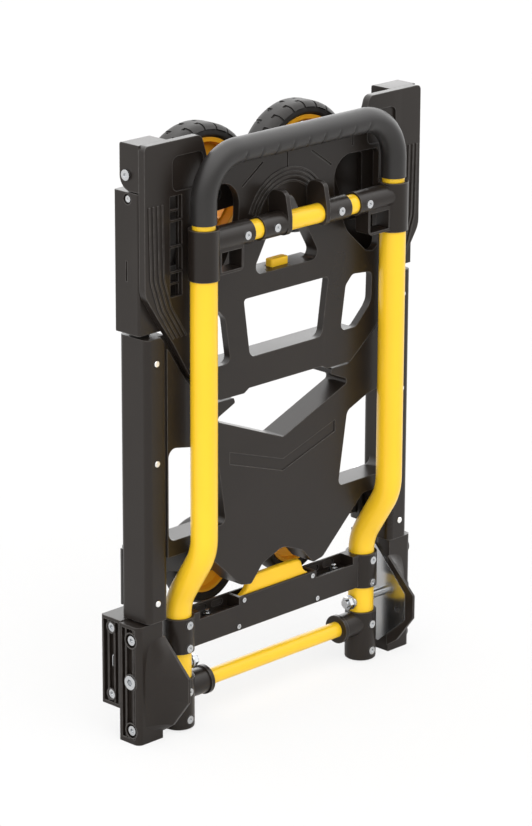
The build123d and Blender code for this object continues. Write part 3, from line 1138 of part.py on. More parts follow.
# Telescoping U tube and grip
U_HALF = [(-LEG_X, GRIP_Z), (LEG_X, GRIP_Z)]
with BuildPart() as inner_tube:
    with BuildLine(front_plane(-LEG_OFFSET)):
        FilletPolyline(
            (-LEG_X, INNER_BOTTOM_Z), *U_HALF, (LEG_X, INNER_BOTTOM_Z), radius=GRIP_CORNER_R
        )
    with BuildSketch(Plane.XY.offset(INNER_BOTTOM_Z)):
        with Locations((-LEG_X, -LEG_OFFSET)):
            Circle(INNER_R)
            Circle(INNER_R - INNER_WALL, mode=Mode.SUBTRACT)
    sweep()
save(inner_tube.part, "inner_tube")

with BuildPart() as grip:
    with BuildLine(front_plane(-LEG_OFFSET)):
        FilletPolyline((-LEG_X, GRIP_END_Z), *U_HALF, (LEG_X, GRIP_END_Z), radius=GRIP_CORNER_R)
    with BuildSketch(Plane.XY.offset(GRIP_END_Z)):
        with Locations((-LEG_X, -LEG_OFFSET)):
            Circle(GRIP_R)
            Circle(INNER_R, mode=Mode.SUBTRACT)
    sweep()
save(grip.part, "grip")

# Main wheels: an arm on the frame tube carries the axle; rim and tyre turn on it
ARM_BACK_Y = ARM_FRONT_Y + ARM_THICK
ARM_END_X = WHEEL_X - ARM_REACH
ARM_WEB_X = TUBE_X - ARM_WEB
AXLE_SEAT_Y = ARM_FRONT_Y + AXLE_HEAD
WHEEL_FRONT_Y = WHEEL_Y - WHEEL_WIDTH / 2
WHEEL_BACK_Y = WHEEL_Y + WHEEL_WIDTH / 2
HUB_FRONT_Y = ARM_BACK_Y + FACE_GAP
KNUCKLE_BOTTOM_Z = COVER_BOTTOM_Z + COVER_CAP + FACE_GAP
KNUCKLE_END_Z = COVER_TOP_Z - COVER_CAP - FACE_GAP
with BuildPart() as wheel_arm:
    z_rod(TUBE_X, TUBE_Y, KNUCKLE_BOTTOM_Z, KNUCKLE_END_Z, KNUCKLE_R)
    with BuildSketch(front_plane(ARM_FRONT_Y)):
        with BuildLine():
            FilletPolyline(
                (TUBE_X, KNUCKLE_END_Z), (ARM_END_X, WHEEL_Z + ARM_HALF),
                (ARM_END_X, WHEEL_Z - ARM_HALF), (WHEEL_X + 2 * ARM_HALF - 8, WHEEL_Z - ARM_HALF - 4),
                (ARM_WEB_X, KNUCKLE_BOTTOM_Z + 20), (ARM_WEB_X + 6, KNUCKLE_BOTTOM_Z),
                (TUBE_X, KNUCKLE_BOTTOM_Z), radius=[1, 15, 15, 20, 8, 4, 1], close=True,
            )
        make_face()
    extrude(amount=-ARM_THICK)
    with BuildSketch(front_plane(ARM_FRONT_Y)):
        with BuildLine():
            FilletPolyline(
                (ARM_WEB_X + 20, WHEEL_Z + ARM_HALF / 2), (WHEEL_X + 2 * ARM_HALF, WHEEL_Z + ARM_HALF / 2),
                (WHEEL_X + 2 * ARM_HALF, WHEEL_Z - ARM_HALF), (ARM_WEB_X, WHEEL_Z - 4 * ARM_HALF),
                (ARM_WEB_X + 20, WHEEL_Z - 4 * ARM_HALF), radius=4, close=True,
            )
        make_face()
    extrude(amount=-ARM_THICK / 2, mode=Mode.SUBTRACT)
    z_rod(TUBE_X, TUBE_Y, COVER_BOTTOM_Z, COVER_TOP_Z, TUBE_R + RUN_FIT, mode=Mode.SUBTRACT)
    y_rod(WHEEL_X, ARM_FRONT_Y - 1, ARM_BACK_Y + 1, WHEEL_Z, AXLE_R + SEAT_FIT, mode=Mode.SUBTRACT)
    y_rod(
        WHEEL_X, ARM_FRONT_Y - 1, AXLE_SEAT_Y, WHEEL_Z, AXLE_HEAD_R + SEAT_FIT, mode=Mode.SUBTRACT
    )
save_pair(wheel_arm.part, "wheel_arm")

with BuildPart() as wheel_axle:
    y_rod(WHEEL_X, AXLE_SEAT_Y, WHEEL_BACK_Y + FACE_GAP, WHEEL_Z, AXLE_R)
    y_rod(WHEEL_X, ARM_FRONT_Y, AXLE_SEAT_Y, WHEEL_Z, AXLE_HEAD_R)
    with BuildSketch(front_plane(ARM_FRONT_Y)):
        with Locations((WHEEL_X, WHEEL_Z)):
            RegularPolygon(AXLE_HEAD_R * 0.5, 6)
    extrude(amount=-1.8, mode=Mode.SUBTRACT)
    y_rod(
        WHEEL_X, WHEEL_BACK_Y + FACE_GAP, WHEEL_BACK_Y + FACE_GAP + AXLE_CAP, WHEEL_Z, AXLE_HEAD_R
    )
save_pair(wheel_axle.part, "wheel_axle")

with BuildPart() as wheel_rim:
    with BuildSketch(Plane.XY) as rim_section:
        with BuildLine():
            Polyline(
                (AXLE_R + RUN_FIT, HUB_FRONT_Y), (HUB_R, HUB_FRONT_Y), (HUB_R + 2, WHEEL_Y - RIM_DISC / 2),
                (RIM_R - RIM_LIP, WHEEL_Y - RIM_DISC / 2), (RIM_R - RIM_LIP + 2, WHEEL_FRONT_Y + 3),
                (RIM_R, WHEEL_FRONT_Y + 3), (RIM_R, WHEEL_BACK_Y - 3),
                (RIM_R - RIM_LIP + 2, WHEEL_BACK_Y - 3),
                (RIM_R - RIM_LIP, WHEEL_Y + RIM_DISC / 2), (HUB_R + 2, WHEEL_Y + RIM_DISC / 2),
                (HUB_R, WHEEL_BACK_Y), (AXLE_R + RUN_FIT, WHEEL_BACK_Y), close=True,
            )
        make_face()
    revolve(axis=Axis.Y)
    with BuildSketch(front_plane(WHEEL_FRONT_Y)):
        with PolarLocations(RIM_WINDOW_R, RIM_SPOKES):
            RectangleRounded(*RIM_WINDOW, 6)
    extrude(amount=-WHEEL_WIDTH, mode=Mode.SUBTRACT)
wheel_rim_part = Pos(WHEEL_X, 0, WHEEL_Z) * wheel_rim.part
save_pair(wheel_rim_part, "wheel_rim")

with BuildPart() as wheel_tyre:
    with BuildSketch(Plane.XY):
        with BuildLine():
            FilletPolyline(
                (RIM_R, WHEEL_FRONT_Y + 3), (RIM_R + 4, WHEEL_FRONT_Y), (WHEEL_R - 5, WHEEL_FRONT_Y + 1),
                (WHEEL_R, WHEEL_FRONT_Y + 8), (WHEEL_R, WHEEL_BACK_Y - 8), (WHEEL_R - 5, WHEEL_BACK_Y - 1),
                (RIM_R + 4, WHEEL_BACK_Y), (RIM_R, WHEEL_BACK_Y - 3), radius=1.5, close=True,
            )
        make_face()
    revolve(axis=Axis.Y)
wheel_tyre_part = Pos(WHEEL_X, 0, WHEEL_Z) * wheel_tyre.part
save_pair(wheel_tyre_part, "wheel_tyre")

# Castors: hinge bracket on the rail's back, folding arm, fork, wheel
with BuildPart() as castor_mounts:
    for side in (-1, 1):
        block(
            side * (CASTOR_HINGE_X - CASTOR_LUG_R), side * (RAIL_OUT_X - RAIL_WALL), RAIL_BACK,
            RAIL_BACK + CASTOR_BASE,
            CASTOR_LUG_Z - 4, KNUCKLE_TOP_Z + FACE_GAP * 2 + CASTOR_LUG + 4,
        )
        for lug_z in (CASTOR_LUG_Z, KNUCKLE_TOP_Z + 2 * FACE_GAP):
            z_rod(side * CASTOR_HINGE_X, CASTOR_HINGE_Y, lug_z, lug_z + CASTOR_LUG, CASTOR_LUG_R)
            block(
                side * (CASTOR_HINGE_X - CASTOR_LUG_R), side * (CASTOR_HINGE_X + CASTOR_LUG_R),
                RAIL_BACK, CASTOR_HINGE_Y, lug_z, lug_z + CASTOR_LUG,
            )
        z_rod(
            side * CASTOR_HINGE_X, CASTOR_HINGE_Y, CASTOR_LUG_Z - 1,
            KNUCKLE_TOP_Z + 3 * CASTOR_LUG, CASTOR_PIN_R + SEAT_FIT, mode=Mode.SUBTRACT,
        )
save(castor_mounts.part, "castor_mounts")

with BuildPart() as castor_pins:
    for side in (-1, 1):
        pin_top = KNUCKLE_TOP_Z + 2 * FACE_GAP + CASTOR_LUG
        z_rod(side * CASTOR_HINGE_X, CASTOR_HINGE_Y, CASTOR_LUG_Z - 2, pin_top, CASTOR_PIN_R)
        z_rod(side * CASTOR_HINGE_X, CASTOR_HINGE_Y, pin_top, pin_top + 3, CASTOR_PIN_R + 2.5)
save(castor_pins.part, "castor_pins")

CASTOR_KNUCKLE_R = CASTOR_HINGE_Y - RAIL_BACK - CASTOR_BASE - FACE_GAP
ARM_BASE_Z = LOWER_LUG_TOP_Z + FACE_GAP
with BuildPart() as castor_arm:
    z_rod(CASTOR_HINGE_X, CASTOR_HINGE_Y, ARM_BASE_Z, KNUCKLE_TOP_Z + FACE_GAP, CASTOR_KNUCKLE_R)
    block(
        CASTOR_PLATE_X + CASTOR_PLATE, CASTOR_HINGE_X, CASTOR_HINGE_Y - CASTOR_ARM_HALF,
        CASTOR_HINGE_Y + CASTOR_ARM_HALF,
        ARM_BASE_Z, KNUCKLE_TOP_Z + FACE_GAP,
    )
    block(
        CASTOR_PLATE_X, CASTOR_PLATE_X + CASTOR_PLATE, CASTOR_Y - CASTOR_PLATE_SIZE / 2 + 6,
        CASTOR_Y + CASTOR_PLATE_SIZE / 2, SWIVEL_Z - CASTOR_PLATE_SIZE / 2, SWIVEL_Z + CASTOR_PLATE_SIZE / 2,
    )
    z_rod(
        CASTOR_HINGE_X, CASTOR_HINGE_Y, CASTOR_LUG_Z, KNUCKLE_TOP_Z + CASTOR_LUG,
        CASTOR_PIN_R + RUN_FIT, mode=Mode.SUBTRACT,
    )
    x_rod(
        CASTOR_PLATE_X - 1, CASTOR_PLATE_X + CASTOR_PLATE + 12, CASTOR_Y, SWIVEL_Z, STEM_R + RUN_FIT,
        mode=Mode.SUBTRACT,
    )
    x_rod(
        CASTOR_PLATE_X + CASTOR_PLATE, CASTOR_PLATE_X + CASTOR_PLATE + 12, CASTOR_Y, SWIVEL_Z,
        STEM_R + 4, mode=Mode.SUBTRACT,
    )
save_pair(castor_arm.part, "castor_arm")

FORK_X = CASTOR_PLATE_X - FACE_GAP
FORK_INSIDE = CASTOR_WIDTH / 2 + FORK_GAP
with BuildPart() as castor_fork:
    block(
        FORK_X - FORK_SHEET, FORK_X, CASTOR_Y - FORK_INSIDE - FORK_SHEET,
        CASTOR_Y + FORK_INSIDE + FORK_SHEET, SWIVEL_Z - FORK_HALF, SWIVEL_Z + FORK_HALF,
    )
    for sheet_y in (CASTOR_Y - FORK_INSIDE - FORK_SHEET, CASTOR_Y + FORK_INSIDE):
        with BuildSketch(front_plane(sheet_y)):
            with BuildLine():
                FilletPolyline(
                    (FORK_X, SWIVEL_Z - FORK_HALF), (FORK_X, SWIVEL_Z + FORK_HALF),
                    (CASTOR_X - 10, CASTOR_Z + 10), (CASTOR_X - 10, CASTOR_Z - 10),
                    (CASTOR_X + 10, CASTOR_Z - 10), radius=[1, 1, 8, 8, 8], close=True,
                )
            make_face()
        extrude(amount=-FORK_SHEET)
    x_rod(FORK_X, CASTOR_PLATE_X + CASTOR_PLATE + 2, CASTOR_Y, SWIVEL_Z, STEM_R)
    x_rod(
        CASTOR_PLATE_X + CASTOR_PLATE + FACE_GAP, CASTOR_PLATE_X + CASTOR_PLATE + 4, CASTOR_Y, SWIVEL_Z,
        STEM_R + 3,
    )
    y_rod(
        CASTOR_X, CASTOR_Y - FORK_INSIDE - FORK_SHEET, CASTOR_Y + FORK_INSIDE + FORK_SHEET, CASTOR_Z,
        CASTOR_AXLE_R + SEAT_FIT, mode=Mode.SUBTRACT,
    )
save_pair(castor_fork.part, "castor_fork")

with BuildPart() as castor_axle:
    axle_end = FORK_INSIDE + FORK_SHEET
    y_rod(CASTOR_X, CASTOR_Y - axle_end, CASTOR_Y + axle_end, CASTOR_Z, CASTOR_AXLE_R)
    y_rod(
        CASTOR_X, CASTOR_Y - axle_end - CASTOR_AXLE_HEAD, CASTOR_Y - axle_end, CASTOR_Z, CASTOR_AXLE_HEAD_R
    )
    y_rod(
        CASTOR_X, CASTOR_Y + axle_end, CASTOR_Y + axle_end + CASTOR_AXLE_HEAD, CASTOR_Z, CASTOR_AXLE_HEAD_R
    )
save_pair(castor_axle.part, "castor_axle")

HALF_TREAD = CASTOR_WIDTH / 2
with BuildPart() as castor_rim:
    with BuildSketch(Plane.XY):
        with BuildLine():
            Polyline(
                (CASTOR_AXLE_R + RUN_FIT, CASTOR_Y - HALF_TREAD - 1),
                (CASTOR_HUB_R, CASTOR_Y - HALF_TREAD - 1), (CASTOR_HUB_R + 2, CASTOR_Y - 5),
                (CASTOR_RIM_R - 5, CASTOR_Y - 5), (CASTOR_RIM_R - 3, CASTOR_Y - HALF_TREAD + 2),
                (CASTOR_RIM_R, CASTOR_Y - HALF_TREAD + 2), (CASTOR_RIM_R, CASTOR_Y + HALF_TREAD - 2),
                (CASTOR_RIM_R - 3, CASTOR_Y + HALF_TREAD - 2), (CASTOR_RIM_R - 5, CASTOR_Y + 5),
                (CASTOR_HUB_R + 2, CASTOR_Y + 5), (CASTOR_HUB_R, CASTOR_Y + HALF_TREAD + 1),
                (CASTOR_AXLE_R + RUN_FIT, CASTOR_Y + HALF_TREAD + 1), close=True,
            )
        make_face()
    revolve(axis=Axis.Y)
save_pair(Pos(CASTOR_X, 0, CASTOR_Z) * castor_rim.part, "castor_rim")

with BuildPart() as castor_tyre:
    with BuildSketch(Plane.XY):
        with BuildLine():
            FilletPolyline(
                (CASTOR_RIM_R, CASTOR_Y - HALF_TREAD + 2), (CASTOR_RIM_R + 3, CASTOR_Y - HALF_TREAD),
                (CASTOR_R - 2, CASTOR_Y - HALF_TREAD + 1), (CASTOR_R, CASTOR_Y - HALF_TREAD + 5),
                (CASTOR_R, CASTOR_Y + HALF_TREAD - 5), (CASTOR_R - 2, CASTOR_Y + HALF_TREAD - 1),
                (CASTOR_RIM_R + 3, CASTOR_Y + HALF_TREAD), (CASTOR_RIM_R, CASTOR_Y + HALF_TREAD - 2),
                radius=0.8, close=True,
            )
        make_face()
    revolve(axis=Axis.Y)
save_pair(Pos(CASTOR_X, 0, CASTOR_Z) * castor_tyre.part, "castor_tyre")
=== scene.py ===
# %% [markdown]
# # A folding hand truck, folded flat and standing on end
# The truck's shapes, sizes and joints come from a CAD model, which is loaded first and never changed.
# What is left for Blender is how the truck looks: its finishes, the tread on its tyres, the finger ridges
# of its grip, two small wire staples, and a studio to see it in.

# %% Load the frame
import json
from math import atan2, exp, pi, radians

import bmesh
import bpy
from mathutils import Matrix, Vector


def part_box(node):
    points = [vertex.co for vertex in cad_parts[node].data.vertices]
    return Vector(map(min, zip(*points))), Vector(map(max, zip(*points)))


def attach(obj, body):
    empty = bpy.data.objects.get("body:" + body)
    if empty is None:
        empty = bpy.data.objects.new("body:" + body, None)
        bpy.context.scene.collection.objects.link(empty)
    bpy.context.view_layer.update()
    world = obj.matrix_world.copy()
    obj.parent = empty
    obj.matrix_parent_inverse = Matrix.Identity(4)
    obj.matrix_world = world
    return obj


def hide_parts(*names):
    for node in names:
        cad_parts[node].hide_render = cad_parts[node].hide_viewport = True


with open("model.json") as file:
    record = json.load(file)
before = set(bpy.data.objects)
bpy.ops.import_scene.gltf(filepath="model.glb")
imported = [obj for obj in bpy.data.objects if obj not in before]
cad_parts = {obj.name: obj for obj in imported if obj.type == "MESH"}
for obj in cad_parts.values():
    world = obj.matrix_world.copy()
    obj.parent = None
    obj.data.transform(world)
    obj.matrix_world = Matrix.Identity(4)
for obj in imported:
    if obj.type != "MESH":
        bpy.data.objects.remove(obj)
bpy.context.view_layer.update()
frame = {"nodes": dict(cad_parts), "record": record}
truck = frame["nodes"]

# %% [markdown]
# ## Camera
# The picture of the truck was taken from its left front corner with a long lens, looking down a little.
# A long lens far away keeps the tubes almost parallel. The camera is given by its place and by the
# directions back and right, because those are what a measured camera comes as, and by a small roll.
# The picture is taller than it is wide, so the lens is measured against the picture's height.

# %% Camera
PICTURE_HEIGHT = 826      # pixels
FOCAL_LENGTH = 3583.1     # in the same pixels
SENSOR_HEIGHT = 36.0      # millimetres
CAMERA_PLACE = (-2.7285, -2.6680, 1.5610)
CAMERA_BACK = (-0.67936, -0.66694, 0.30605)
CAMERA_RIGHT = (0.7006, -0.7136, 0.0)
CAMERA_ROLL = radians(0.242)
camera_data = bpy.data.cameras.new("studio_camera")
camera_data.sensor_fit = "VERTICAL"
camera_data.sensor_height = SENSOR_HEIGHT
camera_data.lens = SENSOR_HEIGHT * FOCAL_LENGTH / PICTURE_HEIGHT
camera = bpy.data.objects.new("studio_camera", camera_data)
bpy.context.scene.collection.objects.link(camera)
back = Vector(CAMERA_BACK).normalized()
right = Vector(CAMERA_RIGHT).normalized()
right = (right - back * right.dot(back)).normalized()
up = back.cross(right)
roll = Matrix.Rotation(CAMERA_ROLL, 3, back)
axes = Matrix((roll @ right, roll @ up, back)).transposed()
camera.matrix_world = Matrix.Translation(CAMERA_PLACE) @ axes.to_4x4()
bpy.context.scene.camera = camera
print("camera with a", round(camera_data.lens, 1), "mm lens")

# %% [markdown]
# ## Studio
# A product on white needs soft light from every side and a floor that keeps only a faint shadow. Suns with
# wide discs light the whole truck evenly, which lamps near it would not. The world is the studio around it.
# The camera sees it plain white. Mirrored in plastic and metal it is what a studio is: a dark room behind
# the camera, and white screens behind and above the truck. That difference draws the black parts' edges.
#
# World, floor and finishes are all made of shader nodes, so one helper adds a node, sets its numbers and
# links what feeds it.


# %% Node helper
def add_node(tree, kind, inputs=None, **settings):
    """Add a node with its settings; an input given another node's output is linked, any other is set."""
    node = tree.nodes.new(kind)
    for name, value in settings.items():
        setattr(node, name, value)
    for label, value in (inputs or {}).items():
        if isinstance(value, bpy.types.NodeSocket):
            tree.links.new(value, node.inputs[label])
        else:
            node.inputs[label].default_value = value
    return node


# %% Studio walls
TOWARDS_SCREENS = Vector((0.45, 0.55, 0.70)).normalized()
ROOM_ENDS, SCREENS_BEGIN = 0.30, 0.82   # 0 looks straight away from the screens, 1 straight at them
ROOM_GREY = 0.06
scene = bpy.context.scene
scene.view_settings.view_transform = "Standard"
world = bpy.data.worlds.new("white_studio")
scene.world = world
world.use_nodes = True
tree = world.node_tree
tree.nodes.clear()
direction = add_node(tree, "ShaderNodeTexCoord")
facing = add_node(
    tree, "ShaderNodeVectorMath", {0: direction.outputs["Generated"], 1: TOWARDS_SCREENS},
    operation="DOT_PRODUCT",
)
share = add_node(   # from -1 to 1 becomes from 0 to 1
    tree, "ShaderNodeMath", {0: facing.outputs["Value"], 1: 0.5, 2: 0.5}, operation="MULTIPLY_ADD"
)
walls = add_node(tree, "ShaderNodeValToRGB", {"Fac": share.outputs[0]})
room, screens = walls.color_ramp.elements
room.position = ROOM_ENDS
room.color = (ROOM_GREY, ROOM_GREY, ROOM_GREY, 1)
screens.position = SCREENS_BEGIN
screens.color = (1, 1, 1, 1)
print("studio walls from", ROOM_GREY, "to white")

# %% World
WARM_WHITE = (1, 0.99, 0.98)
FILL_LEVEL, MIRRORED_LEVEL = 0.80, 3.0
rays = add_node(tree, "ShaderNodeLightPath")
seen = add_node(
    tree, "ShaderNodeMath",
    {0: rays.outputs["Is Camera Ray"], 1: rays.outputs["Is Transmission Ray"]}, operation="MAXIMUM",
)
fill = add_node(tree, "ShaderNodeBackground", {"Color": (*WARM_WHITE, 1), "Strength": FILL_LEVEL})
mirrored = add_node(
    tree, "ShaderNodeBackground", {"Color": walls.outputs["Color"], "Strength": MIRRORED_LEVEL}
)
white = add_node(tree, "ShaderNodeBackground", {"Color": (1, 1, 1, 1)})
light_or_mirror = add_node(
    tree, "ShaderNodeMixShader",
    {0: rays.outputs["Is Glossy Ray"], 1: fill.outputs[0], 2: mirrored.outputs[0]},
)
studio = add_node(
    tree, "ShaderNodeMixShader", {0: seen.outputs[0], 1: light_or_mirror.outputs[0], 2: white.outputs[0]}
)
add_node(tree, "ShaderNodeOutputWorld", {"Surface": studio.outputs[0]})
print("white studio world, fill", FILL_LEVEL, "mirrored", MIRRORED_LEVEL)


# %% Suns
def add_sun(name, towards, strength, spread, colour):
    """A sun that shines along a direction, with a disc this many degrees wide."""
    data = bpy.data.lights.new(name, "SUN")
    data.energy = strength
    data.angle = radians(spread)
    data.color = colour
    lamp = bpy.data.objects.new(name, data)
    scene.collection.objects.link(lamp)
    lamp.rotation_euler = Vector(towards).to_track_quat("-Z", "Y").to_euler()
    print(name, strength)


add_sun("top_sun", towards=(0.25, 0.45, -1.0), strength=0.95, spread=70, colour=(1, 0.99, 0.97))
add_sun("front_sun", towards=(0.35, 0.85, -0.35), strength=0.52, spread=70, colour=WARM_WHITE)
add_sun("left_sun", towards=(0.95, 0.25, -0.30), strength=0.68, spread=60, colour=WARM_WHITE)

# %% [markdown]
# The floor is one pale sheet. Light and shadow fall on it as on any sheet, but the camera sees mostly the
# white studio through it, mixed with some of its lit surface. So a faint shadow stays under the truck, the
# far floor melts into the studio, and the handle can still be seen when it swings down past the floor.

# %% Floor
FLOOR_SIZE = 16
FLOOR_COLOUR = (0.93, 0.93, 0.93, 1)
SEEN_THROUGH = 0.78
bpy.ops.object.select_all(action="DESELECT")
bpy.ops.mesh.primitive_plane_add(size=FLOOR_SIZE, location=(0, 0, 0))
floor = bpy.context.object
floor.name = "studio_floor"
floor_white = bpy.data.materials.new("studio_white")
floor_white.use_nodes = True
tree = floor_white.node_tree
tree.nodes.clear()
rays = add_node(tree, "ShaderNodeLightPath")
seen = add_node(
    tree, "ShaderNodeMath", {0: rays.outputs["Is Camera Ray"], 1: SEEN_THROUGH}, operation="MULTIPLY"
)
lit = add_node(tree, "ShaderNodeBsdfDiffuse", {"Color": FLOOR_COLOUR})
clear = add_node(tree, "ShaderNodeBsdfTransparent")
veil = add_node(tree, "ShaderNodeMixShader", {0: seen.outputs[0], 1: lit.outputs[0], 2: clear.outputs[0]})
add_node(tree, "ShaderNodeOutputMaterial", {"Surface": veil.outputs[0]})
floor.data.materials.append(floor_white)
print("floor", tuple(floor.dimensions))

# %% [markdown]
# ## Shared effects
# Three effects come back in almost every finish, so each is a node group that is built once. The first is
# the fine grain that a mould leaves in plastic, with a broad cloudiness that stops a surface from being one
# flat colour. It reads the object's own coordinates in metres, so the grain has the same size on every part.


# %% Grain group
def make_group(name, inputs, outputs):
    """An empty shader node group with named number inputs and named outputs."""
    group = bpy.data.node_groups.new(name, "ShaderNodeTree")
    for label, value in inputs:
        socket = group.interface.new_socket(label, in_out="INPUT", socket_type="NodeSocketFloat")
        socket.default_value = value
    for label, kind in outputs:
        group.interface.new_socket(label, in_out="OUTPUT", socket_type=kind)
    return group, group.nodes.new("NodeGroupInput"), group.nodes.new("NodeGroupOutput")


FLOAT, VECTOR = "NodeSocketFloat", "NodeSocketVector"
grain_group, given, made = make_group(
    "mould_grain", [("Grain Scale", 900.0), ("Cloud Scale", 16.0)], [("Grain", FLOAT), ("Cloud", FLOAT)]
)
place = add_node(grain_group, "ShaderNodeTexCoord")
for label, detail in (("Grain", 2.0), ("Cloud", 4.0)):
    noise = add_node(grain_group, "ShaderNodeTexNoise", {
        "Vector": place.outputs["Object"], "Scale": given.outputs[label + " Scale"], "Detail": detail,
    })
    grain_group.links.new(noise.outputs["Fac"], made.inputs[label])
print(grain_group.name, [s.name for s in grain_group.interface.items_tree])

# %% [markdown]
# The second softens edges. A CAD edge is perfectly sharp and catches no light, while a moulded or painted
# edge is a little round and shows as a thin bright line. The Bevel node turns the normal near an edge as if
# it were rounded. The group also gives a mask of the outer edges, never the inner corners, where the
# finishes
# paint a lighter colour: partly a painted highlight, partly polish and rubbing. The mask comes from
# occlusion
# measured inside the solid: there an outer edge is close to its other face, and a flat wall or an inner
# corner is not. Noise breaks the mask up.

# %% Soft edge group
FLAT_WALL, SHARP_EDGE = 0.97, 0.55   # how open it is inside the solid, behind a wall and behind an edge
edge_group, given, made = make_group(
    "soft_edges", [("Radius", 0.0006), ("Sheen And Wear Scale", 120.0)], [("Normal", VECTOR), ("Edge", FLOAT)]
)
bevel = add_node(edge_group, "ShaderNodeBevel", {"Radius": given.outputs["Radius"]}, samples=4)
inside = add_node(
    edge_group, "ShaderNodeAmbientOcclusion", {"Distance": given.outputs["Radius"]},
    inside=True, only_local=True, samples=6,
)
# this mask marks where a painted highlight, with some wear, is laid on the outer edges
near_edge = add_node(edge_group, "ShaderNodeMapRange", {
    "Value": inside.outputs["AO"], "From Min": FLAT_WALL, "From Max": SHARP_EDGE,
})
place = add_node(edge_group, "ShaderNodeTexCoord")
patches = add_node(edge_group, "ShaderNodeTexNoise", {
    "Vector": place.outputs["Object"], "Scale": given.outputs["Sheen And Wear Scale"], "Detail": 3.0,
})
broken = add_node(
    edge_group, "ShaderNodeMath", {0: near_edge.outputs["Result"], 1: patches.outputs["Fac"]},
    operation="MULTIPLY",
)
edge_group.links.new(bevel.outputs["Normal"], made.inputs["Normal"])
edge_group.links.new(broken.outputs[0], made.inputs["Edge"])
print(edge_group.name, [s.name for s in edge_group.interface.items_tree])

# %% [markdown]
# The third is handling marks: long thin streaks that differ in length, from sliding against walls and car
# boots. Noise that is stretched along one direction gives streaks, and only its peaks are kept.

# %% Streak group
STREAK_STRETCH = (1.0, 1.0, 0.06)
STREAK_TURN = (radians(24), radians(31), 0)
PEAKS_FROM, PEAKS_TO = 0.60, 0.74
streak_group, given, made = make_group("handling_marks", [("Scale", 60.0)], [("Marks", FLOAT)])
place = add_node(streak_group, "ShaderNodeTexCoord")
stretch = add_node(streak_group, "ShaderNodeMapping", {
    "Vector": place.outputs["Object"], "Scale": STREAK_STRETCH, "Rotation": STREAK_TURN,
})
streaks = add_node(streak_group, "ShaderNodeTexNoise", {
    "Vector": stretch.outputs[0], "Scale": given.outputs["Scale"], "Detail": 5.0, "Roughness": 0.7,
})
peaks = add_node(streak_group, "ShaderNodeMapRange", {
    "Value": streaks.outputs["Fac"], "From Min": PEAKS_FROM, "From Max": PEAKS_TO,
})
streak_group.links.new(peaks.outputs["Result"], made.inputs["Marks"])
print(streak_group.name, [s.name for s in streak_group.interface.items_tree])

# %% [markdown]
# ## Finishes
# Every finish is built the same way: two close colours mixed by the cloudiness, a third on the outer edges
# and the marks, a roughness that drifts, and a bump from the grain. On the edges that third colour is a
# painted highlight as well as wear. One helper lays that chain out, and each finish gives it its own values,
# so what differs between plastic, paint and metal can be read at a glance.

# %% Finish helper
CLOUD_LOW, CLOUD_HIGH = 0.32, 0.68   # the stretch of the cloud noise that the colours are spread over
DRIFT_LOW, DRIFT_HIGH = 0.3, 0.7     # the same for the roughness
COAT_ROUGHNESS = 0.12


def make_finish(name, colours, roughness, grain, edge, marks, coat=0.0, metal=0.0, shine=0.5):
    """A Principled material with cloudy colour, soft edges, streaks and a fine bump.

    colours: the two clouded colours and the one on edges and marks, which on the edges is a painted
    highlight as well as wear; roughness: lowest and highest; grain: scale, cloud scale, bump height in
    metres, bump strength; edge: radius in metres, weight of the edge colour; marks: scale, weight; shine:
    the specular level, 0.5 for a plain plastic.
    """
    material = bpy.data.materials.new(name)
    material.use_nodes = True
    tree = material.node_tree
    grains = add_node(
        tree, "ShaderNodeGroup", {"Grain Scale": grain[0], "Cloud Scale": grain[1]}, node_tree=grain_group
    )
    edges = add_node(tree, "ShaderNodeGroup", {"Radius": edge[0]}, node_tree=edge_group)
    streaks = add_node(tree, "ShaderNodeGroup", {"Scale": marks[0]}, node_tree=streak_group)
    cloud = add_node(tree, "ShaderNodeMapRange", {
        "Value": grains.outputs["Cloud"], "From Min": CLOUD_LOW, "From Max": CLOUD_HIGH,
    })
    clouded = add_node(tree, "ShaderNodeMix", {
        "Factor": cloud.outputs["Result"], "A": (*colours[0], 1), "B": (*colours[1], 1),
    }, data_type="RGBA")
    # the lighter colour on the outer edges is a painted highlight, and partly wear
    edge_sheen_and_wear = add_node(tree, "ShaderNodeMath", {0: edges.outputs["Edge"], 1: edge[1]}, operation="MULTIPLY")
    marks_and_edge_sheen = add_node(
        tree, "ShaderNodeMath", {0: streaks.outputs["Marks"], 1: marks[1], 2: edge_sheen_and_wear.outputs[0]},
        operation="MULTIPLY_ADD", use_clamp=True,
    )
    colour = add_node(tree, "ShaderNodeMix", {
        "Factor": marks_and_edge_sheen.outputs[0], "A": clouded.outputs["Result"], "B": (*colours[2], 1),
    }, data_type="RGBA")
    rough = add_node(tree, "ShaderNodeMapRange", {
        "Value": grains.outputs["Cloud"], "From Min": DRIFT_LOW, "From Max": DRIFT_HIGH,
        "To Min": roughness[0], "To Max": roughness[1],
    })
    bump = add_node(tree, "ShaderNodeBump", {
        "Height": grains.outputs["Grain"], "Normal": edges.outputs["Normal"],
        "Distance": grain[2], "Strength": grain[3],
    })
    shader = tree.nodes["Principled BSDF"]
    tree.links.new(colour.outputs["Result"], shader.inputs["Base Color"])
    tree.links.new(rough.outputs["Result"], shader.inputs["Roughness"])
    tree.links.new(bump.outputs["Normal"], shader.inputs["Normal"])
    shader.inputs["Metallic"].default_value = metal
    shader.inputs["Specular IOR Level"].default_value = shine
    shader.inputs["Coat Weight"].default_value = coat
    shader.inputs["Coat Roughness"].default_value = COAT_ROUGHNESS
    print("finish", name)
    return material
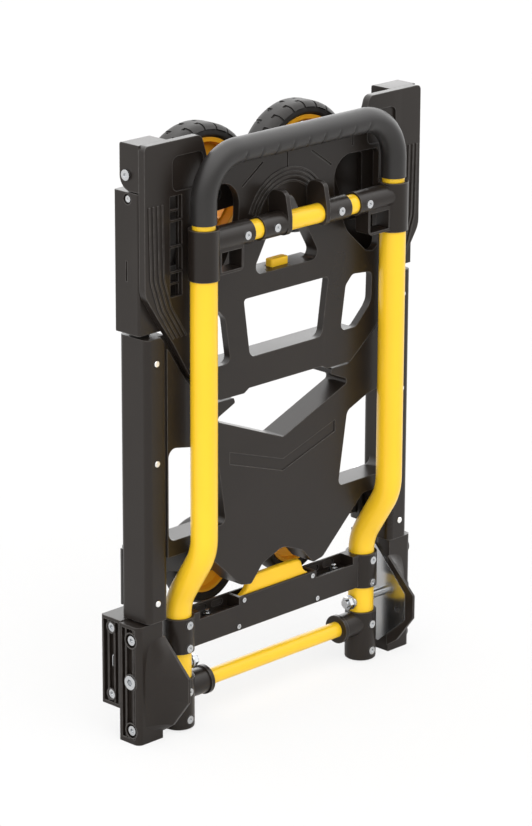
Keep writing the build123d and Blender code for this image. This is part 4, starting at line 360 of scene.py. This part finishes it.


# %% [markdown]
# The black parts are glass filled plastic with a fine spark texture: a warm near-black, satin, with edges
# that catch the light, and on those edges a much lighter colour that is a painted highlight as well as wear.
# The legs have a glossy powder coat with a slight orange peel. The pedal and the button are through-coloured
# plastic, and the wheel rims a deeper orange.

# %% Plastics and paint
finishes = {}
# its third colour, on the outer edges, is mostly a painted highlight, with some wear
finishes["black_plastic"] = make_finish(
    "black_moulded_plastic",
    colours=[(0.0130, 0.0096, 0.0076), (0.0170, 0.0129, 0.0105), (0.135, 0.126, 0.120)],
    roughness=(0.26, 0.36), grain=(1400.0, 9.0, 0.0003, 0.14),
    edge=(0.0011, 0.90), marks=(38.0, 0.03), shine=0.28,
)
finishes["yellow_tube"] = make_finish(
    "yellow_powder_coat",
    colours=[(0.94, 0.590, 0.024), (0.92, 0.565, 0.020), (0.95, 0.66, 0.07)],
    roughness=(0.28, 0.36), grain=(420.0, 8.0, 0.0003, 0.05),
    edge=(0.0005, 0.25), marks=(50.0, 0.08), coat=0.12, shine=0.32,
)
finishes["yellow_plastic"] = make_finish(
    "yellow_moulded_plastic",
    colours=[(0.94, 0.570, 0.020), (0.92, 0.545, 0.017), (0.95, 0.66, 0.07)],
    roughness=(0.36, 0.44), grain=(1100.0, 20.0, 0.0002, 0.12),
    edge=(0.0008, 0.25), marks=(60.0, 0.06), shine=0.32,
)
finishes["yellow_rim"] = make_finish(
    "orange_rim_plastic",
    colours=[(0.96, 0.450, 0.022), (0.94, 0.420, 0.018), (0.97, 0.58, 0.07)],
    roughness=(0.34, 0.44), grain=(900.0, 24.0, 0.0002, 0.12),
    edge=(0.0009, 0.35), marks=(70.0, 0.06), shine=0.36,
)

# %% [markdown]
# Tyres and grip are rubber, duller than the plastic. The grip is a soft sleeve with a fine stipple. Screws,
# nuts, pins and the pivot plates are zinc plated steel, with a cloudy passivation that makes some patches a
# little bluer than others. Rivets are plain aluminium, and the hidden frame steel is painted black.

# %% Rubber and metal
finishes["tyre"] = make_finish(
    "tyre_rubber",
    colours=[(0.0160, 0.0143, 0.0134), (0.0215, 0.0195, 0.0184), (0.060, 0.055, 0.052)],
    roughness=(0.48, 0.60), grain=(700.0, 22.0, 0.0004, 0.26),
    edge=(0.0006, 0.40), marks=(45.0, 0.10), shine=0.32,
)
finishes["grip_rubber"] = make_finish(
    "grip_rubber",
    colours=[(0.0150, 0.0137, 0.0132), (0.0195, 0.0179, 0.0173), (0.050, 0.047, 0.045)],
    roughness=(0.38, 0.47), grain=(1700.0, 12.0, 0.0003, 0.24),
    edge=(0.0005, 0.20), marks=(50.0, 0.04), shine=0.40,
)
finishes["zinc"] = make_finish(
    "bright_zinc",
    colours=[(0.54, 0.55, 0.56), (0.49, 0.505, 0.525), (0.66, 0.66, 0.66)],
    roughness=(0.20, 0.28), grain=(1500.0, 30.0, 0.0001, 0.10),
    edge=(0.0003, 0.40), marks=(120.0, 0.10), metal=1.0,
)
finishes["rivet"] = make_finish(
    "aluminium_rivet",
    colours=[(0.90, 0.90, 0.89), (0.84, 0.84, 0.83), (0.97, 0.97, 0.97)],
    roughness=(0.26, 0.36), grain=(1500.0, 90.0, 0.0001, 0.12),
    edge=(0.0003, 0.30), marks=(120.0, 0.15), metal=1.0,
)
finishes["frame_steel"] = make_finish(
    "black_painted_steel",
    colours=[(0.0260, 0.0240, 0.0230), (0.0320, 0.0300, 0.0288), (0.10, 0.10, 0.10)],
    roughness=(0.32, 0.42), grain=(520.0, 14.0, 0.0002, 0.10),
    edge=(0.0005, 0.45), marks=(50.0, 0.12), coat=0.1, shine=0.40,
)

# %% [markdown]
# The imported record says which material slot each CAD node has, so the finishes are handed out by slot.

# %% Hand out the finishes
for part in frame["record"]["subparts"]:
    mesh = truck[part["node"]].data
    mesh.materials.clear()
    mesh.materials.append(finishes[part["material_slot"]])

# %% [markdown]
# ## Tyres
# The CAD tyres are smooth rings of the right size. The real ones are moulded rubber with two rows of tread
# blocks, cut by short hooked grooves that are staggered from row to row. A tyre is a section turned round
# the axle, so it starts as a plane with rounded corners that is spun. The section stops at the grooves'
# floor, and the blocks are then raised from it, which leaves the grooves behind without cutting anything.


# %% Select and measure
def select_only(piece):
    """Select one piece alone, so that an object operator acts on nothing else."""
    bpy.ops.object.select_all(action="DESELECT")
    piece.select_set(True)
    bpy.context.view_layer.objects.active = piece


def select_where(piece, kind, test):
    """In edit mode, select the piece's vertices, edges or faces whose middle passes a test."""
    bpy.ops.mesh.select_mode(type=kind)
    bpy.ops.mesh.select_all(action="DESELECT")
    mesh = bmesh.from_edit_mesh(piece.data)
    chosen = 0
    for item in {"VERT": mesh.verts, "EDGE": mesh.edges, "FACE": mesh.faces}[kind]:
        if kind == "VERT":
            middle = item.co
        else:
            middle = sum((v.co for v in item.verts), Vector()) / len(item.verts)
        if test(middle):
            item.select_set(True)
            chosen += 1
    mesh.select_flush_mode()
    bmesh.update_edit_mesh(piece.data)
    return chosen


def place_of(node):
    """The middle of a wheel's CAD node, with its radius and its width along the axle."""
    low, high = (Vector(c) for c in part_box(node))
    return (low + high) / 2, (high.x - low.x) / 2, high.y - low.y


# %% Turn the ring
SEAT_CHAMFER = 0.003
SHOULDER_SEGMENTS, TREAD_CUTS = 4, 3
NEAR = 0.00005        # how far off a line a point may lie and still count as on it
MERGE_GAP = 0.00002   # points closer than this are one point


def turn_ring(name, node, seat_r, groove, shoulder, steps):
    """A rubber ring from a spun section: its seat on the rim, flat sidewalls, round shoulders."""
    middle, radius, width = place_of(node)
    floor_r = radius - groove
    bpy.ops.object.select_all(action="DESELECT")
    bpy.ops.mesh.primitive_plane_add(size=1, location=middle + Vector(((seat_r + floor_r) / 2, 0, 0)))
    ring = bpy.context.object
    ring.name = name
    ring.scale = (floor_r - seat_r, width - groove, 1)
    bpy.ops.object.transform_apply(location=True, rotation=True, scale=True)
    bpy.ops.object.mode_set(mode="EDIT")
    select_where(ring, "VERT", lambda p: p.x > middle.x + floor_r - NEAR)
    bpy.ops.mesh.bevel(offset=shoulder, segments=SHOULDER_SEGMENTS, affect="VERTICES")
    select_where(ring, "VERT", lambda p: p.x < middle.x + seat_r + NEAR)
    bpy.ops.mesh.bevel(offset=SEAT_CHAMFER, segments=1, affect="VERTICES")
    select_where(ring, "EDGE", lambda p: p.x > middle.x + floor_r - NEAR)
    bpy.ops.mesh.subdivide(number_cuts=TREAD_CUTS)
    bpy.ops.mesh.select_all(action="SELECT")
    bpy.ops.mesh.delete(type="ONLY_FACE")
    bpy.ops.mesh.select_all(action="SELECT")
    bpy.ops.mesh.spin(steps=steps, angle=2 * pi, center=middle, axis=(0, 1, 0))
    bpy.ops.mesh.select_all(action="SELECT")
    bpy.ops.mesh.remove_doubles(threshold=MERGE_GAP)
    bpy.ops.mesh.normals_make_consistent(inside=False)
    print(name, len(bmesh.from_edit_mesh(ring.data).faces), "faces before the tread")
    return ring


# %% [markdown]
# The spin has seven steps to a tread pitch. In each pitch one step is the groove, and its inner part is one
# step wider, which makes the hook. The second row does the same about half a pitch further round. Everything
# else on the tread, down over part of the shoulders, is raised along its normals.

# %% Main tyre
RIM_R, TREAD_DEPTH, TYRE_SHOULDER = 0.060, 0.0016, 0.0085
PITCHES, STEPS = 24, 7
GROOVE_FROM = 0.5       # how far out from the tyre's middle line the grooves begin, 1 being the shoulder
SHOULDER_SHARE = 0.62   # how far down the shoulder the tread reaches


def raise_tread(ring, node, groove, shoulder):
    """Raise the blocks of a spun ring, leaving two staggered rows of hooked grooves."""
    middle, radius, width = place_of(node)
    inner_r = radius - groove - SHOULDER_SHARE * shoulder

    def is_block(p):
        out = p - middle
        if Vector((out.x, 0, out.z)).length < inner_r:
            return False
        step = int((atan2(out.z, out.x) % (2 * pi)) / (2 * pi) * PITCHES * STEPS)
        if out.y > 0:
            step += STEPS // 2
        across = abs(out.y) / (width / 2 - shoulder)
        in_groove = step % STEPS == 0 and across > GROOVE_FROM
        in_hook = step % STEPS == 1 and GROOVE_FROM < across < 1.0
        return not (in_groove or in_hook)

    raised = select_where(ring, "FACE", is_block)
    bpy.ops.mesh.extrude_region_shrink_fatten(TRANSFORM_OT_shrink_fatten={"value": groove})
    print(ring.name, raised, "faces raised")


main_tyre = turn_ring(
    "left_tread_tyre", "left_wheel_tyre", RIM_R, TREAD_DEPTH, TYRE_SHOULDER, PITCHES * STEPS
)
raise_tread(main_tyre, "left_wheel_tyre", TREAD_DEPTH, TYRE_SHOULDER)
bpy.ops.object.mode_set(mode="OBJECT")

# %% [markdown]
# A castor's tyre is plain: a ring with round shoulders, and one smooth tread band that stands a little proud
# of its sidewalls. The right-hand tyres are copies of the left-hand ones, moved across the truck.

# %% Castor tyre
CASTOR_RIM_R, BAND_HEIGHT, CASTOR_SHOULDER = 0.037, 0.0010, 0.0060
CASTOR_STEPS = 96
BAND_STEP = 0.0004


def raise_band(ring, node, groove, shoulder):
    """Raise a spun ring's tread all round, in from its edges by a narrow step."""
    middle, radius, _ = place_of(node)
    inner_r = radius - groove - SHOULDER_SHARE * shoulder

    def is_tread(p):
        return Vector((p.x - middle.x, 0, p.z - middle.z)).length > inner_r

    raised = select_where(ring, "FACE", is_tread)
    bpy.ops.mesh.inset(thickness=BAND_STEP, use_individual=False)
    bpy.ops.mesh.extrude_region_shrink_fatten(TRANSFORM_OT_shrink_fatten={"value": groove})
    print(ring.name, raised, "faces raised")


castor_tyre = turn_ring(
    "left_castor_ring", "left_castor_tyre", CASTOR_RIM_R, BAND_HEIGHT, CASTOR_SHOULDER, CASTOR_STEPS
)
raise_band(castor_tyre, "left_castor_tyre", BAND_HEIGHT, CASTOR_SHOULDER)
bpy.ops.object.mode_set(mode="OBJECT")

# %% Fit the tyres
TYRE_SMOOTH = radians(32)


def fit_tyre(tyre, node, body):
    """Give a tyre its rubber, let it stand for its CAD node and turn with its wheel."""
    tyre.data.materials.clear()
    tyre.data.materials.append(finishes["tyre"])
    select_only(tyre)
    bpy.ops.object.shade_smooth_by_angle(angle=TYRE_SMOOTH)
    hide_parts(node)
    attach(tyre, body)
    print(tyre.name, "on", body, tuple(round(d, 4) for d in tyre.dimensions))


def copy_across(piece, name):
    """A copy of a left-hand piece with its own mesh, moved to the same place on the right."""
    select_only(piece)
    low, high = (Vector(c) for c in (piece.bound_box[0], piece.bound_box[6]))
    bpy.ops.object.duplicate()
    twin = bpy.context.object
    twin.name = name
    twin.location.x = -(low.x + high.x)
    bpy.ops.object.transform_apply(location=True, rotation=True, scale=True)
    return twin


right_tyre = copy_across(main_tyre, "right_tread_tyre")
right_castor = copy_across(castor_tyre, "right_castor_ring")
fit_tyre(main_tyre, "left_wheel_tyre", "left_wheel")
fit_tyre(right_tyre, "right_wheel_tyre", "right_wheel")
fit_tyre(castor_tyre, "left_castor_tyre", "left_castor_wheel")
fit_tyre(right_castor, "right_castor_tyre", "right_castor_wheel")

# %% [markdown]
# ## Grip
# The grip is a rubber sleeve on the bent tube, with finger ridges moulded on the underside of its top run. A
# sleeve could be a bevelled curve, but the ridges need rings of vertices where they cross it, so it starts
# as a circle at the sleeve's lower end that is extruded up, spun round the first corner, extruded in small
# steps along the top, spun round the second corner and extruded down again.


# %% Bend a tube
def extrude_along(move, times):
    """Extrude the selected ring of edges by the same small move several times."""
    for _ in range(times):
        bpy.ops.mesh.extrude_region_move(TRANSFORM_OT_translate={"value": move})


def bend_tube(name, circle, first_run, bends, bend_steps, closed):
    """A tube from a circle: a first run, then a quarter turn and another run at each bend.

    first_run: the move of one step and the number of steps; bends: for each one the centre of its turn, and
    the move and the number of steps of the run after it; closed: whether its two ends are filled.
    """
    bpy.ops.object.select_all(action="DESELECT")
    bpy.ops.mesh.primitive_circle_add(**circle)
    tube = bpy.context.object
    tube.name = name
    bpy.ops.object.transform_apply(location=True, rotation=True, scale=True)
    bpy.ops.object.mode_set(mode="EDIT")
    bpy.ops.mesh.select_mode(type="EDGE")
    bpy.ops.mesh.select_all(action="SELECT")
    extrude_along(*first_run)
    for centre, move, times in bends:
        bpy.ops.mesh.spin(steps=bend_steps, angle=pi / 2, center=centre, axis=(0, -1, 0))
        extrude_along(move, times)
    bpy.ops.mesh.select_all(action="SELECT")
    bpy.ops.mesh.remove_doubles(threshold=MERGE_GAP)
    if closed:
        bpy.ops.mesh.fill_holes(sides=0)
    bpy.ops.mesh.normals_make_consistent(inside=False)
    bpy.ops.object.mode_set(mode="OBJECT")
    print(name, len(tube.data.polygons), "faces", [round(d, 4) for d in tube.dimensions])
    return tube


# %% Sleeve
low, high = (Vector(c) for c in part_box("grip"))
SLEEVE_R = (high.y - low.y) / 2
SLEEVE_X = high.x - SLEEVE_R
SLEEVE_Y = (low.y + high.y) / 2
RUN_Z = high.z - SLEEVE_R
CORNER_R = 0.050
CORNER_X, CORNER_Z = SLEEVE_X - CORNER_R, RUN_Z - CORNER_R
SLEEVE_SIDES, CORNER_STEPS, END_STEPS, RUN_STEPS = 48, 18, 4, 164
RUN_STEP = 2 * CORNER_X / RUN_STEPS
END_STEP = (CORNER_Z - low.z) / END_STEPS
sleeve = bend_tube(
    "grip_sleeve",
    circle={"vertices": SLEEVE_SIDES, "radius": SLEEVE_R, "location": (-SLEEVE_X, SLEEVE_Y, low.z)},
    first_run=((0, 0, END_STEP), END_STEPS),
    bends=[
        ((-CORNER_X, SLEEVE_Y, CORNER_Z), (RUN_STEP, 0, 0), RUN_STEPS),
        ((CORNER_X, SLEEVE_Y, CORNER_Z), (0, 0, -END_STEP), END_STEPS),
    ],
    bend_steps=CORNER_STEPS, closed=False,
)

# %% [markdown]
# The finger ridges are pads with narrow valleys between them, on the side of the grip where the fingers
# close. A vertex group says how far each vertex goes in: all the way on the ring in the middle of a valley,
# less on the rings beside it, and nothing on the side that lies in the palm. A Displace modifier then moves
# them along their normals, and Solidify gives the sleeve its wall.

# %% Finger valleys
STEPS_PER_FINGER = 20
FINGER = STEPS_PER_FINGER * RUN_STEP
VALLEY_WIDTH = 0.0016
LEAST_DEPTH = 0.02                                   # a share of the full depth; less is left flat
VALLEY_END, VALLEY_FADE = radians(96), radians(18)   # measured from the underside, round the tube
RUN_END_X = CORNER_X + 0.001                         # a little past the straight run's last ring
valleys = sleeve.vertex_groups.new(name="finger_valleys")
touched = 0
for vertex in sleeve.data.vertices:
    if abs(vertex.co.x) > RUN_END_X:
        continue
    beside = (vertex.co.x + FINGER / 2) % FINGER - FINGER / 2
    under = abs(atan2(vertex.co.y - SLEEVE_Y, RUN_Z - vertex.co.z))
    round_the_side = min(max((VALLEY_END - under) / VALLEY_FADE, 0), 1)
    depth = exp(-((beside / VALLEY_WIDTH) ** 2)) * round_the_side
    if depth > LEAST_DEPTH:
        valleys.add([vertex.index], depth, "REPLACE")
        touched += 1
print(touched, "vertices in the finger valleys")

# %% Finish the grip
VALLEY_DEPTH, SLEEVE_WALL = 0.0014, 0.0015
TUBE_SMOOTH = radians(40)
select_only(sleeve)
dent = sleeve.modifiers.new("finger_valleys", "DISPLACE")
dent.vertex_group = valleys.name
dent.mid_level = 0.0
dent.strength = -VALLEY_DEPTH
bpy.ops.object.modifier_apply(modifier=dent.name)
wall = sleeve.modifiers.new("rubber_wall", "SOLIDIFY")
wall.thickness = SLEEVE_WALL
wall.offset = -1
bpy.ops.object.modifier_apply(modifier=wall.name)
bpy.ops.object.shade_smooth_by_angle(angle=TUBE_SMOOTH)
sleeve.data.materials.append(finishes["grip_rubber"])
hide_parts("grip")
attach(sleeve, "grip_frame")
print(sleeve.name, "on grip_frame with", len(sleeve.data.polygons), "faces")

# %% [markdown]
# ## Wire staples
# In the recess of each rear block, between its two bolts, a bent wire shows as a short bright line: a staple
# to hook a strap or a tag on. A wire is a circle pushed along a path. It starts just under the recess floor,
# comes out a little, turns a corner, runs up, and turns back in, so it is bent as the sleeve was. The
# right-hand one is a copy, turned half round about the truck's middle so that it looks out on its own side.

# %% Left-hand staple
WIRE_R, WIRE_BEND, STAPLE_RUN = 0.0006, 0.0016, 0.0100
WIRE_SIDES, WIRE_BEND_STEPS = 12, 5
RECESS_DEPTH = 0.0050
low, high = (Vector(c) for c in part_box("left_rear_block"))
STAPLE_Y = (low.y + high.y) / 2
STAPLE_Z = (low.z + high.z) / 2 - STAPLE_RUN / 2
recess_floor = low.x + RECESS_DEPTH
wire_start = (recess_floor + WIRE_R, STAPLE_Y, STAPLE_Z - WIRE_BEND)
bend_x = recess_floor - WIRE_R
staple = bend_tube(
    "left_wire_staple",
    circle={"vertices": WIRE_SIDES, "radius": WIRE_R, "location": wire_start, "rotation": (0, pi / 2, 0)},
    first_run=((bend_x - wire_start[0], 0, 0), 1),
    bends=[
        ((bend_x, STAPLE_Y, STAPLE_Z), (0, 0, STAPLE_RUN), 1),
        ((bend_x, STAPLE_Y, STAPLE_Z + STAPLE_RUN), (wire_start[0] - bend_x, 0, 0), 1),
    ],
    bend_steps=WIRE_BEND_STEPS, closed=True,
)
bpy.ops.object.shade_smooth_by_angle(angle=TUBE_SMOOTH)
staple.data.materials.append(finishes["zinc"])

# %% Right-hand staple
select_only(staple)
bpy.ops.object.duplicate()
right_staple = bpy.context.object
right_staple.name = "right_wire_staple"
bpy.ops.transform.rotate(value=pi, orient_axis="Z", center_override=(0, STAPLE_Y, 0))
bpy.ops.object.transform_apply(location=True, rotation=True, scale=True)
for piece in (staple, right_staple):
    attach(piece, "frame")
    corners = [Vector(c) for c in (piece.bound_box[0], piece.bound_box[6])]
    print(piece.name, [[round(v, 4) for v in c] for c in corners])
